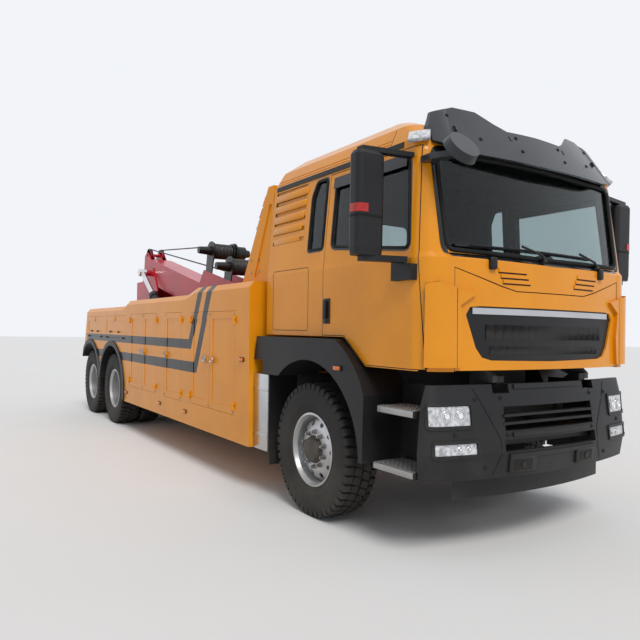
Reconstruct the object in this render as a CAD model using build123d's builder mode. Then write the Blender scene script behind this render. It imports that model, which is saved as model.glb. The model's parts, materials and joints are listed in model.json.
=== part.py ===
from build123d import *
from math import cos, radians, sin, sqrt
import os

os.makedirs("parts", exist_ok=True)

# Heavy recovery truck, millimetres. X points forward, Y to the truck's left, Z up from the ground.
# Stations are distances ahead of the front axle, and at() turns a station into an X of the frame.
FRONT_AXLE_X = 3400


def at(station):
    return FRONT_AXLE_X + station


# Clearances
RUN_GAP = 0.3  # between a shaft, pin or seat and what it carries
MOVE_GAP = 6.0  # between panels that move past each other

# Wheels and axles
TYRE_R = 542.5
TYRE_WIDTH = 300
BEAD_R = 292
BEAD_Y = 107
RIM_EDGE_R = 301
HUB_Z = TYRE_R
AXLE_STATIONS = {"front": 0, "middle": -5750, "rear": -7150}
FRONT_TYRE_Y = 1005
TWIN_CENTRE_Y = 900
TWIN_SPACING = 340
KINGPIN_Y = 838
SPINDLE_R = 45
AXLE_END_R = 60
STEER_ARM = 220

# Frame
RAIL_Y = 430
RAIL_H = 300
RAIL_FLANGE = 90
RAIL_T = 10
FRAME_TOP = 1020
RAIL_BOTTOM = FRAME_TOP - RAIL_H
FRAME_FRONT = 1180
FRAME_REAR = -7500
CROSS_MEMBERS = (1080, -1400, -3300, -4900, -6450, -7430)
CROSS_L = 120
SPRING_GAP = 19.7
SUBFRAME_H = 80
DECK_T = 16
DECK_TOP = FRAME_TOP + SUBFRAME_H + DECK_T

# Engine block, and the gearbox behind it
ENGINE_REAR = -300
ENGINE_Y = 320
GEARBOX_REAR = -1250
GEARBOX_Z = 820

# Body with its side lockers
BODY_Y = 1250
BODY_INNER_Y = 575
BODY_WALL = 26
BODY_FRONT = -910
BODY_BOTTOM = 420
ARCH_R = 750
BEVEL_IN = 46
BEVEL_UP = 60
# columns: station, height of the top edge, from the front to the rear
BODY_TOP = (
    (-943, 1970), (-2310, 1970), (-2600, 1898), (-4930, 1898), (-5196, 1823), (-7426, 1823),
)
BODY_TAIL = (-7740, 752)
# columns: name, front station, rear station, bottom, top, hinge side
LOCKERS = (
    ("locker_a", -1235, -1860, 675, 1695, "front"),
    ("locker_b", -1860, -2390, 675, 1695, "rear"),
    ("locker_c", -2680, -3270, 665, 1700, "front"),
    ("locker_d", -3580, -4150, 665, 1700, "front"),
    ("locker_e", -4150, -4760, 665, 1700, "rear"),
    ("locker_f", -5020, -6170, 1345, 1685, "bottom"),
    ("locker_g", -6330, -7400, 1345, 1685, "bottom"),
)
# columns: front station, rear station, floor, ceiling of each closed compartment
COMPARTMENTS = (
    (-970, -2500, 450, 1895), (-2530, -3410, 450, 1853), (-3440, -4925, 450, 1853),
    (-4955, -6235, 1320, 1778), (-6265, -7405, 1320, 1778),
)
LEAF_T = 30
LEAF_PRESS = 6
LEAF_BORDER = 75
LATCH_R = 32
HINGE_R = 11
HINGE_OUT = 13
HINGE_LEN = 26

# Light pylons behind the cab
PYLON_Y = 1060
PYLON_T = 70
PYLON_TOP = 2870
GROOVE = 14
# rear edge: lower station and height, then the station at the top
PYLON_EDGE = (-1440, 2060, -960)
PYLON_LAMPS = ((2800, 2700), (2695, 2595), (2590, 2490))

# Posts of the cab's tilt pins
POST_Y = 460
POST_T = 70

# Cab
CAB_WALL = 60
CAB_FLOOR_Z = 1264
CAB_ARCH_Z = 1472
# columns: height, centre front, corner, corner's y, side's start, half width, rear wall
CAB_SECTIONS = (
    (1264, 1445, 1372, 880, 1200, 1125, -820),
    (2010, 1438, 1358, 905, 1185, 1130, -820),
    (2045, 1405, 1322, 935, 1170, 1125, -820),
    (2740, 1288, 1208, 985, 1120, 1066, -820),
    (2825, 1262, 1180, 980, 1095, 1058, -815),
)
ROOF_SECTIONS = (
    (2825, 1262, 1180, 980, 1095, 1058, -815),
    (2960, 1120, 1040, 880, 930, 1000, -745),
    (3060, 880, 810, 740, 710, 870, -600),
    (3120, 520, 470, 460, 400, 600, -330),
)
DOOR_SEAM = 127
DOOR_OUTLINE = (
    (1287, 1276), (700, 1276), (425, 1484), (DOOR_SEAM, 1484), (DOOR_SEAM, 2765), (1172, 2765),
)
DOOR_WINDOW = ((1140, 2085), (225, 2185), (225, 2700), (1075, 2700))
QUARTER_WINDOW = ((75, 2185), (-125, 2185), (-125, 2620), (-60, 2740), (75, 2740))
TUNNEL_Y = 400
TUNNEL_Z = 1560
GLASS_T = 6
GLASS_INSET = 10
WINDSCREEN = ((0, 2056), (940, 2072), (955, 2722), (0, 2728))

# Service flap and grille
FLAP_SEAM_Y = 905
# outlines seen from the front as (y, height), from the centre line out and back to it
FLAP_OUTLINE = ((0, 1270), (FLAP_SEAM_Y, 1270), (FLAP_SEAM_Y, 1945), (523, 1838), (380, 1808), (0, 1808))
FLAP_HOLE = ((0, 1200), (FLAP_SEAM_Y + 6, 1200), (FLAP_SEAM_Y + 6, 1953), (520, 1846), (378, 1815), (0, 1815))
GRILLE_OUTLINE = (
    (0, 1326), (600, 1336), (682, 1356), (735, 1420), (817, 1640), (784, 1692), (700, 1700), (0, 1700),
)
# columns: bottom, top, half width, openings in the row
GRILLE_ROWS = ((1479, 1578, 640, 20), (1376, 1430, 600, 20))
GRILLE_BAR = 14
FLAP_STOP = 1302.3
# half width of the firewall, inside the path of the doors' front edges
FIREWALL_Y = 885
# raised fins on the front corners, as (y, height); the flap carries their tips
FIN_OUTLINE = ((753, 1779), (1044, 1846), (1150, 1823), (1150, 1290), (870, 1290), (850, 1500), (880, 1700))
FIN_T = 26

# Sun visor. Columns as in the cab's table
VISOR_SECTIONS = ((2680, 1430, 1335, 900, 1180, 1055, 700), (3140, 1160, 1060, 740, 900, 960, 700))
VISOR_OUTLINE = (
    (0, 2715), (700, 2725), (900, 2760), (985, 2800), (960, 2920), (900, 3040), (700, 3112), (520, 3100),
    (400, 3020), (300, 2975), (0, 2982),
)

# Bumper. Columns as in the cab's table
BUMPER_SECTIONS = (
    (1172, 1412, 1322, 960, 1120, 1130, 880),
    (1030, 1446, 1352, 985, 1130, 1150, 870),
    (720, 1500, 1382, 1010, 1140, 1150, 870),
    (545, 1486, 1345, 1030, 1120, 1150, 880),
)
BUMPER_WALL = 40
# columns: bottom, top, inner edge, outer edge of the head lamp and the fog lamp
LAMPS = ((908, 1035, 776, 1085), (720, 790, 742, 1060))
BUMPER_END = 1275
AIR_OPENINGS = ((490, 857, 1020), (505, 720, 800))

# Front fenders
FENDER_Y = 1200
FENDER_TOP = 1455
FENDER_ARCH_R = 735
FENDER_HEM_Z = 1116
BOX_FRONT = -640

# Boom. Its own axes run along the boom, u, and square to it, v
BOOM_PIVOT = (-2900, 1560)
BOOM_ANGLE = 13.2
BOOM_H = 420
BOOM_W = 400
BOOM_PLATE = 16
BOOM_LEN = 4450
INNER_H = 360
INNER_W = 340
INNER_TAIL = 1900
HEAD_LEN = 470
SHEAVE_R = 105
CYL_BASE = (-5250, 1235)
CYL_EYE = (-7180, 2520)
CYL_Y = 345
BARREL_R = 75
BARREL_START = 110
ROD_R = 45
PIN_R = 32

# Winches across the boom, in its own axes, and their section as (across, radius)
WINCHES = ((956, 618), (1643, 744))
WINCH_PLATES = (-200, 165)
WINCH_PLATE_T = 18
WINCH_PLATE_R = 142
WINCH_SEAT = 430
WINCH_HOUSING_R = 70
WINCH_SECTION = (
    (-400, 0), (-400, 50), (-350, 55), (-235, 62), (-235, WINCH_HOUSING_R), (-186, WINCH_HOUSING_R), (-184, 130),
    (-172, 130), (-170, 92), (108, 92), (112, 130), (127, 130), (130, WINCH_HOUSING_R), (200, WINCH_HOUSING_R),
    (205, 100), (330, 100), (340, 62), (410, 55), (410, 0),
)

# Column and folding underlift at the tail
COLUMN_FRONT = -7620
COLUMN_DEPTH = 300
COLUMN_W = 320
COLUMN_FOOT = 420
COLUMN_TOP = 2320
FOLD_PIVOT = (-8075, 520)
ARM_LEN = 900
ARM_H = 200
ARM_W = 230
STINGER_H = 150
STINGER_W = 180
STINGER_START = 215
CROSSBAR_W = 1180
FORK_PIN_Y = 460
FORK_PIN_R = 25


def keep(part, name):
    """Label a finished piece and write it."""
    part.label = name
    export_step(part, f"parts/{name}.step")


def flank(y):
    """Upright plane at y, local axes X and Z, its normal pointing to the truck's right."""
    return Plane.XZ.offset(-y)


def across(x, y, z, side=1):
    """Upright plane across the truck: local x points outward from the centre, local y up."""
    return Plane(origin=(x, side * y, z), x_dir=(0, side, 0), z_dir=(side, 0, 0))


def side_view(points):
    """Closed outline of (station, height) points, for a flank plane."""
    return Polygon(*[(at(s), z) for s, z in points], align=None)


def plan_outline(row, inset=0):
    """Plan of the cab or bumper at one height: straight sides, rounded corners, bowed front."""
    z, front, corner, corner_y, side, width, rear = row
    front_x = at(front - inset)
    corner_x = at(corner - inset)
    side_x = at(side - inset * 0.6)
    corner_y = corner_y - inset * 0.6
    width = width - inset
    mid_x = side_x + (corner_x - side_x) * sin(radians(45))
    mid_y = corner_y + (width - corner_y) * cos(radians(45))
    with BuildSketch(Plane.XY.offset(z)) as sketch:
        with BuildLine():
            Line((at(rear + inset), -width), (side_x, -width))
            ThreePointArc((side_x, -width), (mid_x, -mid_y), (corner_x, -corner_y))
            ThreePointArc((corner_x, -corner_y), (front_x, 0), (corner_x, corner_y))
            ThreePointArc((corner_x, corner_y), (mid_x, mid_y), (side_x, width))
            Line((side_x, width), (at(rear + inset), width))
            Line((at(rear + inset), width), (at(rear + inset), -width))
        make_face()
    return sketch.sketch


def stack(rows, inset=0, ruled=True):
    """Loft through the plan outlines of a table."""
    with BuildPart() as body:
        loft(sections=[plan_outline(row, inset) for row in rows], ruled=ruled)
    return body.part


def cab_form(inset):
    """The closed outer form of the cab's walls, moved inward by inset."""
    rows = [list(row) for row in CAB_SECTIONS]
    rows[0][0] += inset
    with BuildPart() as form:
        add(stack(rows, inset))
        with BuildSketch(flank(1400)):
            side_view((
                (700 + inset * 0.6, CAB_FLOOR_Z - 50), (700 + inset * 0.6, CAB_FLOOR_Z + inset),
                (425 + inset * 0.6, CAB_ARCH_Z + inset), (-900, CAB_ARCH_Z + inset),
                (-900, CAB_FLOOR_Z - 50),
            ))
        extrude(amount=2800, mode=Mode.SUBTRACT)
        with BuildSketch(flank(TUNNEL_Y + inset)):
            side_view((
                (1150 + inset, CAB_FLOOR_Z - 50), (1150 + inset, TUNNEL_Z - 200 + inset),
                (1000 + inset, TUNNEL_Z + inset), (-900, TUNNEL_Z + inset), (-900, CAB_FLOOR_Z - 50),
            ))
        extrude(amount=2 * (TUNNEL_Y + inset), mode=Mode.SUBTRACT)
    return form.part


def lining(inset):
    """The cab's inner space carried on through its floor and its top."""
    low, high = CAB_SECTIONS[0], CAB_SECTIONS[-1]
    return stack([(low[0] - 100, *low[1:]), *CAB_SECTIONS, (high[0] + 100, *high[1:])], inset)


def roof_form(inset):
    rows = [list(row) for row in ROOF_SECTIONS]
    for row in rows[1:]:
        row[0] -= inset
    return stack(rows, inset)


def front_cut(points, depth=900, start=900):
    """Prism along X from half an outline of (y, z) points, which starts and ends on the centre line."""
    with BuildPart() as prism:
        with BuildSketch(Plane.YZ.offset(at(start))):
            Polygon(*points, *[(-y, z) for y, z in reversed(points[1:-1])], align=None)
        extrude(amount=depth)
    return prism.part


def flank_cut(points, inner, outer, grow=0, radius=0):
    """Prism along Y on the left side from an outline of (station, height) points."""
    with BuildPart() as prism:
        with BuildSketch(flank(outer)) as sketch:
            side_view(points)
            if grow:
                offset(amount=grow, kind=Kind.INTERSECTION, mode=Mode.REPLACE)
            if radius:
                fillet(sketch.vertices(), radius)
        extrude(amount=outer - inner)
    return prism.part


# Frame rails with cross members, cab mounts and the rear bar
with BuildPart() as frame_rails:
    rail_len = FRAME_FRONT - FRAME_REAR
    with BuildSketch(Plane.YZ.offset(at(FRAME_REAR))):
        with Locations((RAIL_Y - RAIL_FLANGE / 2, FRAME_TOP - RAIL_H / 2)):
            Rectangle(RAIL_FLANGE, RAIL_H)
        with Locations((RAIL_Y - RAIL_FLANGE / 2 - RAIL_T, FRAME_TOP - RAIL_H / 2)):
            Rectangle(RAIL_FLANGE, RAIL_H - 2 * RAIL_T, mode=Mode.SUBTRACT)
        mirror(about=Plane.YZ)
    extrude(amount=rail_len)
    for station in CROSS_MEMBERS:
        with BuildSketch(Plane.XY.offset(FRAME_TOP - 120)):
            with Locations((at(station), 0)):
                Rectangle(CROSS_L, 2 * (RAIL_Y - RAIL_T / 2))
        extrude(amount=100)
    # plates that carry the rear springs' middle
    for side in (1, -1):
        with BuildSketch(flank(side * (RAIL_Y + SPRING_GAP / 2) + SPRING_GAP / 2)):
            side_view(((-6340, 660), (-6340, 860), (-6560, 860), (-6560, 660)))
        extrude(amount=SPRING_GAP)
    # posts that carry the cab's tilt pins, and the rest behind the cab
    for side in (1, -1):
        with BuildSketch(flank(side * POST_Y + POST_T / 2)):
            side_view((
                (1180, 900), (1180, 1000), (1370, 1180), (1370, 1225), (1290, 1225), (1000, 1010), (1000, 900),
            ))
        extrude(amount=POST_T)
        with BuildSketch(Plane.YZ.offset(at(-760))):
            with Locations((side * 400, (FRAME_TOP + CAB_ARCH_Z - RUN_GAP) / 2 - 5)):
                Rectangle(60, CAB_ARCH_Z - RUN_GAP - FRAME_TOP + 10)
        extrude(amount=60)
    with BuildSketch(Plane.YZ.offset(at(-760))):
        with Locations((0, CAB_ARCH_Z - 140)):
            Rectangle(860, 60)
    extrude(amount=60)
    # rear under-run bar, one length each side of the column
    for side in (1, -1):
        with BuildSketch(flank(side * 715 + 415)):
            side_view(((-7730, 480), (-7730, 600), (-7820, 600), (-7820, 480)))
        extrude(amount=830)
        with BuildSketch(flank(side * 400 + 30)):
            side_view(((-7400, 900), (-7400, 730), (-7730, 490), (-7760, 490), (-7760, 590), (-7500, 900)))
        extrude(amount=60)
keep(frame_rails.part, "frame_rails")

# Running gear: dropped front beam, two drive axle housings, springs, engine block, gearbox, shafts
with BuildPart() as running_gear:
    with BuildSketch(Plane.YZ.offset(at(-45))):
        with BuildLine():
            Polyline(
                (-KINGPIN_Y, HUB_Z + 45), (-KINGPIN_Y, HUB_Z - 45), (-600, HUB_Z - 60), (-520, HUB_Z - 130),
                (520, HUB_Z - 130), (600, HUB_Z - 60), (KINGPIN_Y, HUB_Z - 45), (KINGPIN_Y, HUB_Z + 45),
                (600, HUB_Z + 30), (520, HUB_Z - 30), (-520, HUB_Z - 30), (-600, HUB_Z + 30),
                (-KINGPIN_Y, HUB_Z + 45),
            )
        make_face()
    extrude(amount=90)
    for side in (1, -1):
        with BuildSketch(Plane.XY.offset(HUB_Z - 70)):
            with Locations((at(0), side * KINGPIN_Y)):
                Circle(42)
        extrude(amount=140)
        with BuildSketch(flank(side * 415 + 45)):
            side_view((
                (-860, 700), (-700, 640), (0, 548), (700, 640), (860, 700), (860, RAIL_BOTTOM - RUN_GAP),
                (690, 690), (0, 640), (-690, 690), (-860, RAIL_BOTTOM - RUN_GAP),
            ))
        extrude(amount=90)
        with BuildSketch(flank(side * 415 + 45)):
            side_view(((-90, HUB_Z - 130), (-90, 700), (90, 700), (90, HUB_Z - 130)))
        extrude(amount=90)
    for axle in ("middle", "rear"):
        x = at(AXLE_STATIONS[axle])
        with BuildSketch(Plane(origin=(x, 0, HUB_Z), x_dir=(0, 1, 0), z_dir=(1, 0, 0))):
            with BuildLine():
                Polyline(
                    (-560, 0), (-560, 90), (-330, 90), (-180, 200), (180, 200), (330, 90), (560, 90),
                    (560, 0), (-560, 0),
                )
            make_face()
        revolve(axis=Axis((x, 0, HUB_Z), (0, 1, 0)))
        with BuildSketch(flank(TWIN_CENTRE_Y + 60)):
            with Locations((x, HUB_Z)):
                Circle(AXLE_END_R)
        extrude(amount=2 * (TWIN_CENTRE_Y + 60))
        for side in (1, -1):
            with BuildSketch(flank(side * 490 + 45)):
                with Locations((x, HUB_Z + 60)):
                    Rectangle(160, 160)
            extrude(amount=90)
    for side in (1, -1):
        with BuildSketch(flank(side * 490 + 40)):
            side_view((
                (-5650, 640), (-5850, 640), (-6300, 720), (-6600, 720), (-7050, 640), (-7250, 640),
                (-7250, 675), (-7060, 680), (-6600, 815), (-6300, 815), (-5840, 680), (-5650, 675),
            ))
        extrude(amount=80)
    with BuildSketch(Plane.YZ.offset(at(ENGINE_REAR))):
        with Locations((0, 1095)):
            Rectangle(2 * ENGINE_Y, 690)
    extrude(amount=1250)
    with BuildSketch(Plane.XY.offset(780)):
        with Locations((at(300), 0)):
            Rectangle(200, 2 * (RAIL_Y - RAIL_T - RUN_GAP))
    extrude(amount=60)
    with BuildSketch(Plane.YZ.offset(at(GEARBOX_REAR))):
        with Locations((0, GEARBOX_Z)):
            Circle(210)
    extrude(amount=ENGINE_REAR - GEARBOX_REAR + 10)
    middle, rear = AXLE_STATIONS["middle"], AXLE_STATIONS["rear"]
    shaft_start = Vector(at(GEARBOX_REAR + 20), 0, GEARBOX_Z)
    shaft_end = Vector(at(middle + 190), 0, HUB_Z)
    with BuildSketch(Plane(origin=shaft_start, x_dir=(0, 1, 0), z_dir=shaft_end - shaft_start)):
        Circle(58)
    extrude(amount=(shaft_end - shaft_start).length)
    with BuildSketch(Plane.YZ.offset(at(rear + 190))):
        with Locations((0, HUB_Z)):
            Circle(50)
    extrude(amount=middle - rear - 380)
keep(running_gear.part, "running_gear")


def tail_station(z):
    """Where the body's sloping rear edge is at height z."""
    top_s, top_z = BODY_TOP[-1]
    foot_s, foot_z = BODY_TAIL
    return top_s + (foot_s - top_s) * (top_z - z) / (top_z - foot_z)


def pylon_station(z):
    """Where a light pylon's rear edge is at height z."""
    low_s, low_z, high_s = PYLON_EDGE
    return low_s + (high_s - low_s) * (z - low_z) / (PYLON_TOP - low_z)


# Side locker body, left, then its mirror image, with its compartments open to their doors
with BuildPart() as locker_body_left:
    with BuildSketch(flank(BODY_Y)):
        side_view((
            (BODY_FRONT, BODY_BOTTOM), *BODY_TOP, BODY_TAIL, (-7800, 700), (-7800, BODY_BOTTOM),
        ))
    extrude(amount=BODY_Y - BODY_INNER_Y)
    for axle in ("middle", "rear"):
        with BuildSketch(flank(BODY_Y)):
            with Locations((at(AXLE_STATIONS[axle]), HUB_Z)):
                Circle(ARCH_R)
        extrude(amount=BODY_Y - BODY_INNER_Y, mode=Mode.SUBTRACT)
    with BuildSketch(flank(BODY_Y)):
        side_view(((-5650, 300), (-5650, 830), (-7300, 830), (-8000, 752), (-8000, 300)))
    extrude(amount=BODY_Y - BODY_INNER_Y, mode=Mode.SUBTRACT)
    outer = locker_body_left.faces().filter_by(Axis.Y).sort_by(Axis.Y)[-1]
    brow = [edge for edge in outer.edges() if edge.center().Z > BODY_TOP[-1][1] - 1]
    chamfer(brow, length=BEVEL_UP, length2=BEVEL_IN, reference=outer)
    for front, rear, low, high in COMPARTMENTS:
        with BuildSketch(flank(BODY_Y - LEAF_T)):
            side_view(((front, low), (front, high), (rear, high), (rear, low)))
        extrude(amount=BODY_Y - LEAF_T - BODY_INNER_Y - BODY_WALL, mode=Mode.SUBTRACT)
    for _, front, rear, low, high, _ in LOCKERS:
        with BuildSketch(flank(BODY_Y)):
            side_view(((front, low), (front, high), (rear, high), (rear, low)))
        extrude(amount=LEAF_T + 5, mode=Mode.SUBTRACT)
    # fixed halves of the hinges: two knuckles at each end of a leaf's hinge edge
    for _, front, rear, low, high, hinge in LOCKERS:
        edge = {"front": front, "rear": rear, "bottom": low}[hinge]
        spots = (low + 90, high - 90) if hinge != "bottom" else (front - 120, rear + 120)
        for spot in spots:
            for shift in (-1, 1):
                middle = spot + shift * (HINGE_LEN + RUN_GAP)
                if hinge == "bottom":
                    base = Plane.YZ.offset(at(middle) - HINGE_LEN / 2)
                    centre = (BODY_Y + HINGE_OUT, edge)
                    foot = (BODY_Y + HINGE_OUT / 2, edge - HINGE_R / 2)
                    size = (HINGE_OUT, HINGE_R)
                else:
                    base = Plane.XY.offset(middle - HINGE_LEN / 2)
                    centre = (at(edge), BODY_Y + HINGE_OUT)
                    away = HINGE_R if hinge == "front" else -HINGE_R
                    foot = (at(edge) + away / 2, BODY_Y + HINGE_OUT / 2)
                    size = (HINGE_R, HINGE_OUT)
                with BuildSketch(base):
                    with Locations(centre):
                        Circle(HINGE_R)
                    with Locations(foot):
                        Rectangle(*size)
                extrude(amount=HINGE_LEN)
keep(locker_body_left.part, "locker_body_left")

with BuildPart() as locker_body_right:
    mirror(locker_body_left.part, about=Plane.XZ)
keep(locker_body_right.part, "locker_body_right")


def locker_leaf(front, rear, low, high, hinge):
    """One locker door in its opening: pressed panel, two hinge knuckles and a latch."""
    with BuildPart() as leaf:
        centre = (at((front + rear) / 2), (low + high) / 2)
        with BuildSketch(flank(BODY_Y)):
            with Locations(centre):
                Rectangle(front - rear - MOVE_GAP, high - low - MOVE_GAP)
        extrude(amount=LEAF_T)
        with BuildSketch(flank(BODY_Y)):
            with Locations(centre):
                Rectangle(front - rear - 2 * LEAF_BORDER, high - low - 2 * LEAF_BORDER)
        extrude(amount=LEAF_PRESS, mode=Mode.SUBTRACT)
        edge = {"front": front, "rear": rear, "bottom": low}[hinge]
        spots = (low + 90, high - 90) if hinge != "bottom" else (front - 120, rear + 120)
        for spot in spots:
            if hinge == "bottom":
                base = Plane.YZ.offset(at(spot) - HINGE_LEN / 2 + RUN_GAP / 2)
                centre = (BODY_Y + HINGE_OUT, edge)
                foot = (BODY_Y + HINGE_OUT / 2 - 1, edge + 9)
                size = (HINGE_OUT + 2, 10)
            else:
                base = Plane.XY.offset(spot - HINGE_LEN / 2 + RUN_GAP / 2)
                centre = (at(edge), BODY_Y + HINGE_OUT)
                away = -1 if hinge == "front" else 1
                foot = (at(edge) + away * 9, BODY_Y + HINGE_OUT / 2 - 1)
                size = (10, HINGE_OUT + 2)
            with BuildSketch(base):
                with Locations(centre):
                    Circle(HINGE_R)
                with Locations(foot):
                    Rectangle(*size)
            extrude(amount=HINGE_LEN - RUN_GAP)
        # round latch near the free edge
        if hinge == "bottom":
            spot = (at((front + rear) / 2), high - 45)
        elif hinge == "front":
            spot = (at(rear + 60), (low + high) / 2)
        else:
            spot = (at(front - 60), (low + high) / 2)
        with BuildSketch(flank(BODY_Y + 10)):
            with Locations(spot):
                Circle(LATCH_R)
        extrude(amount=20)
    return leaf.part


for name, front, rear, low, high, hinge in LOCKERS:
    leaf = locker_leaf(front, rear, low, high, hinge)
    keep(leaf, f"{name}_left")
    with BuildPart() as leaf_right:
        mirror(leaf, about=Plane.XZ)
    keep(leaf_right.part, f"{name}_right")

# Deck between the lockers on its two bearers, its front wall, and the light pylons: folded sheet
# with a groove down the outer face, standing on the locker bodies
with BuildPart() as body_deck:
    deck_y = BODY_INNER_Y - RUN_GAP
    with BuildSketch(Plane.YZ.offset(at(BODY_TOP[-1][0]))):
        with Locations((0, DECK_TOP - DECK_T / 2)):
            Rectangle(2 * deck_y, DECK_T)
        for side in (1, -1):
            with Locations((side * (RAIL_Y - RAIL_FLANGE / 2), DECK_TOP - DECK_T / 2 - SUBFRAME_H / 2)):
                Rectangle(RAIL_FLANGE - 10, SUBFRAME_H + DECK_T - 2 * RUN_GAP)
    extrude(amount=BODY_FRONT - BODY_TOP[-1][0])
    with BuildSketch(Plane.YZ.offset(at(BODY_FRONT - 30))):
        with Locations((0, (DECK_TOP + BODY_TOP[0][1]) / 2)):
            Rectangle(2 * deck_y, BODY_TOP[0][1] - DECK_TOP)
    extrude(amount=30)
    pylon_foot = BODY_TOP[0][1] + RUN_GAP
    for side in (1, -1):
        with BuildSketch(flank(side * (PYLON_Y - PYLON_T / 2) + PYLON_T / 2)):
            side_view((
                (-950, pylon_foot), (-1500, pylon_foot), PYLON_EDGE[:2], (PYLON_EDGE[2], PYLON_TOP),
                (-850, PYLON_TOP), (-850, 2400),
            ))
        extrude(amount=PYLON_T)
        with BuildSketch(flank(side * (PYLON_Y - GROOVE / 2) + GROOVE / 2)):
            side_view(((-1060, 2030), (-1230, 2030), (-935, 2700), (-880, 2700), (-880, 2400)))
        extrude(amount=GROOVE, mode=Mode.SUBTRACT)
keep(body_deck.part, "body_deck")

# Black wheel arches: trims over the drive wheels, then the front fenders with their mud flaps
with BuildPart() as wheel_arches:
    with BuildSketch(flank(BODY_Y + 22)):
        for axle in ("middle", "rear"):
            with Locations((at(AXLE_STATIONS[axle]), HUB_Z)):
                Circle(ARCH_R - RUN_GAP)
        for axle in ("middle", "rear"):
            with Locations((at(AXLE_STATIONS[axle]), HUB_Z)):
                Circle(ARCH_R - 75, mode=Mode.SUBTRACT)
        tail_x, tail_z = BODY_TAIL
        Polygon(
            (at(-4800), 440), (at(-4800), 1450), (at(-7535), 1450), (at(tail_x), tail_z),
            (at(-7150), tail_z), (at(-7150), 660), (at(-5750), 660), (at(-5750), 440),
            align=None, mode=Mode.INTERSECT,
        )
    extrude(amount=300)
    # front fender: flat top, rounded nose, open round the wheel
    with BuildSketch(flank(FENDER_Y)):
        with BuildLine():
            Polyline((at(-922), 1241), (at(-873), FENDER_TOP), (at(400), FENDER_TOP))
            ThreePointArc((at(400), FENDER_TOP), (at(627), 1292), (at(782), 1060))
            Polyline((at(782), 1060), (at(775), 578), (at(734), 578))
            arch_end = -sqrt(FENDER_ARCH_R ** 2 - (FENDER_HEM_Z - HUB_Z) ** 2)
            ThreePointArc((at(734), 578), (at(0), HUB_Z + FENDER_ARCH_R), (at(arch_end), FENDER_HEM_Z))
            Polyline(
                (at(arch_end), FENDER_HEM_Z), (at(-745), FENDER_HEM_Z), (at(-745), 1241), (at(-922), 1241),
            )
        make_face()
    extrude(amount=FENDER_Y - 800)
    with BuildSketch(flank(FENDER_Y - 30)):
        side_view((
            (-880, 1262), (-850, FENDER_TOP - 25), (380, FENDER_TOP - 25), (600, 1300), (500, 1300), (0, 1320),
            (-500, 1290), (-720, 1200), (-720, 1262),
        ))
    extrude(amount=FENDER_Y - 800, mode=Mode.SUBTRACT)
    # mud flap down the front of the box behind the wheel, and the arm to the post at the rail
    flap_s = BOX_FRONT + RUN_GAP
    with BuildSketch(flank(FENDER_Y - 10)):
        side_view((
            (flap_s, FENDER_HEM_Z + 10), (flap_s + 10, FENDER_HEM_Z + 10), (flap_s + 10, 440), (-600, 310),
            (-610, 310), (flap_s, 430),
        ))
    extrude(amount=FENDER_Y - 910)
    with BuildSketch(flank(820)):
        side_view(((-705, 1130), (-705, 1190), (-745, 1190), (-745, 1130)))
    extrude(amount=820 - RAIL_Y - RUN_GAP)
    mirror(about=Plane.XZ)
keep(wheel_arches.part, "wheel_arches")

# Bumper: hollow moulding with lamp openings, air openings and a deep valance
with BuildPart() as bumper:
    add(stack(BUMPER_SECTIONS))
    inner_rows = [list(row) for row in BUMPER_SECTIONS]
    inner_rows[0][0] += 20
    inner_rows[-1][0] -= 20
    for row in inner_rows:
        row[6] -= 3 * BUMPER_WALL
    add(stack(inner_rows, BUMPER_WALL), mode=Mode.SUBTRACT)
    # valance, set back under the moulding
    valance = [[z, front - 120, corner - 120, corner_y - 20, side - 60, width - 55, rear]
               for z, (_, front, corner, corner_y, side, width, rear)
               in ((560, BUMPER_SECTIONS[-1]), (390, BUMPER_SECTIONS[-1]))]
    add(stack(valance))
    hollow = [[z, front - 120, corner - 120, corner_y - 20, side - 60, width - 55, rear - 120]
              for z, (_, front, corner, corner_y, side, width, rear)
              in ((600, BUMPER_SECTIONS[-1]), (360, BUMPER_SECTIONS[-1]))]
    add(stack(hollow, 25), mode=Mode.SUBTRACT)
    for half_width, low, high in AIR_OPENINGS:
        outline = ((0, low), (half_width, low), (half_width, high), (0, high))
        add(front_cut(outline, 700, 1000), mode=Mode.SUBTRACT)
    for side in (1, -1):
        for low, high, near, far in LAMPS:
            with BuildSketch(Plane.YZ.offset(at(BUMPER_END))):
                with Locations((side * (near + far) / 2, (low + high) / 2)):
                    Rectangle(far - near, high - low)
            extrude(amount=500, mode=Mode.SUBTRACT)
    # it ends ahead of the steps, and makes room for the cab's tilt posts
    with BuildSketch(Plane.XY.offset(300)):
        with Locations((at(BUMPER_END - 300), 0)):
            Rectangle(600, 2400)
    extrude(amount=1000, mode=Mode.SUBTRACT)
    for side in (1, -1):
        with BuildSketch(Plane.XY.offset(1110)):
            with Locations((at(1340), side * 490)):
                Rectangle(200, 150)
        extrude(amount=200, mode=Mode.SUBTRACT)
    # cross slats in the upper opening
    for z in (905, 960):
        with BuildSketch(Plane.YZ.offset(at(1395))):
            with Locations((0, z)):
                Rectangle(1000, 18)
        extrude(amount=50)
    # hangers of the valance, up to the steel bracket
    for side in (1, -1):
        with BuildSketch(flank(side * 400 + 20)):
            side_view(((BUMPER_END, 500), (BUMPER_END, 850), (1330, 850), (1330, 500)))
        extrude(amount=40)
    # steel bracket from the rails
    with BuildSketch(Plane.YZ.offset(at(FRAME_FRONT + RUN_GAP))):
        with Locations((0, 800)):
            Rectangle(1470, 100)
    extrude(amount=220)
keep(bumper.part, "bumper")

# the lamps' windows, which the curved lenses fill
with BuildPart() as lamp_windows:
    for side in (1, -1):
        for low, high, near, far in LAMPS:
            with BuildSketch(Plane.YZ.offset(at(BUMPER_END))):
                with Locations((side * (near + far) / 2, (low + high) / 2)):
                    Rectangle(far - near - 2 * RUN_GAP, high - low - 2 * RUN_GAP)
            extrude(amount=500)

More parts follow.
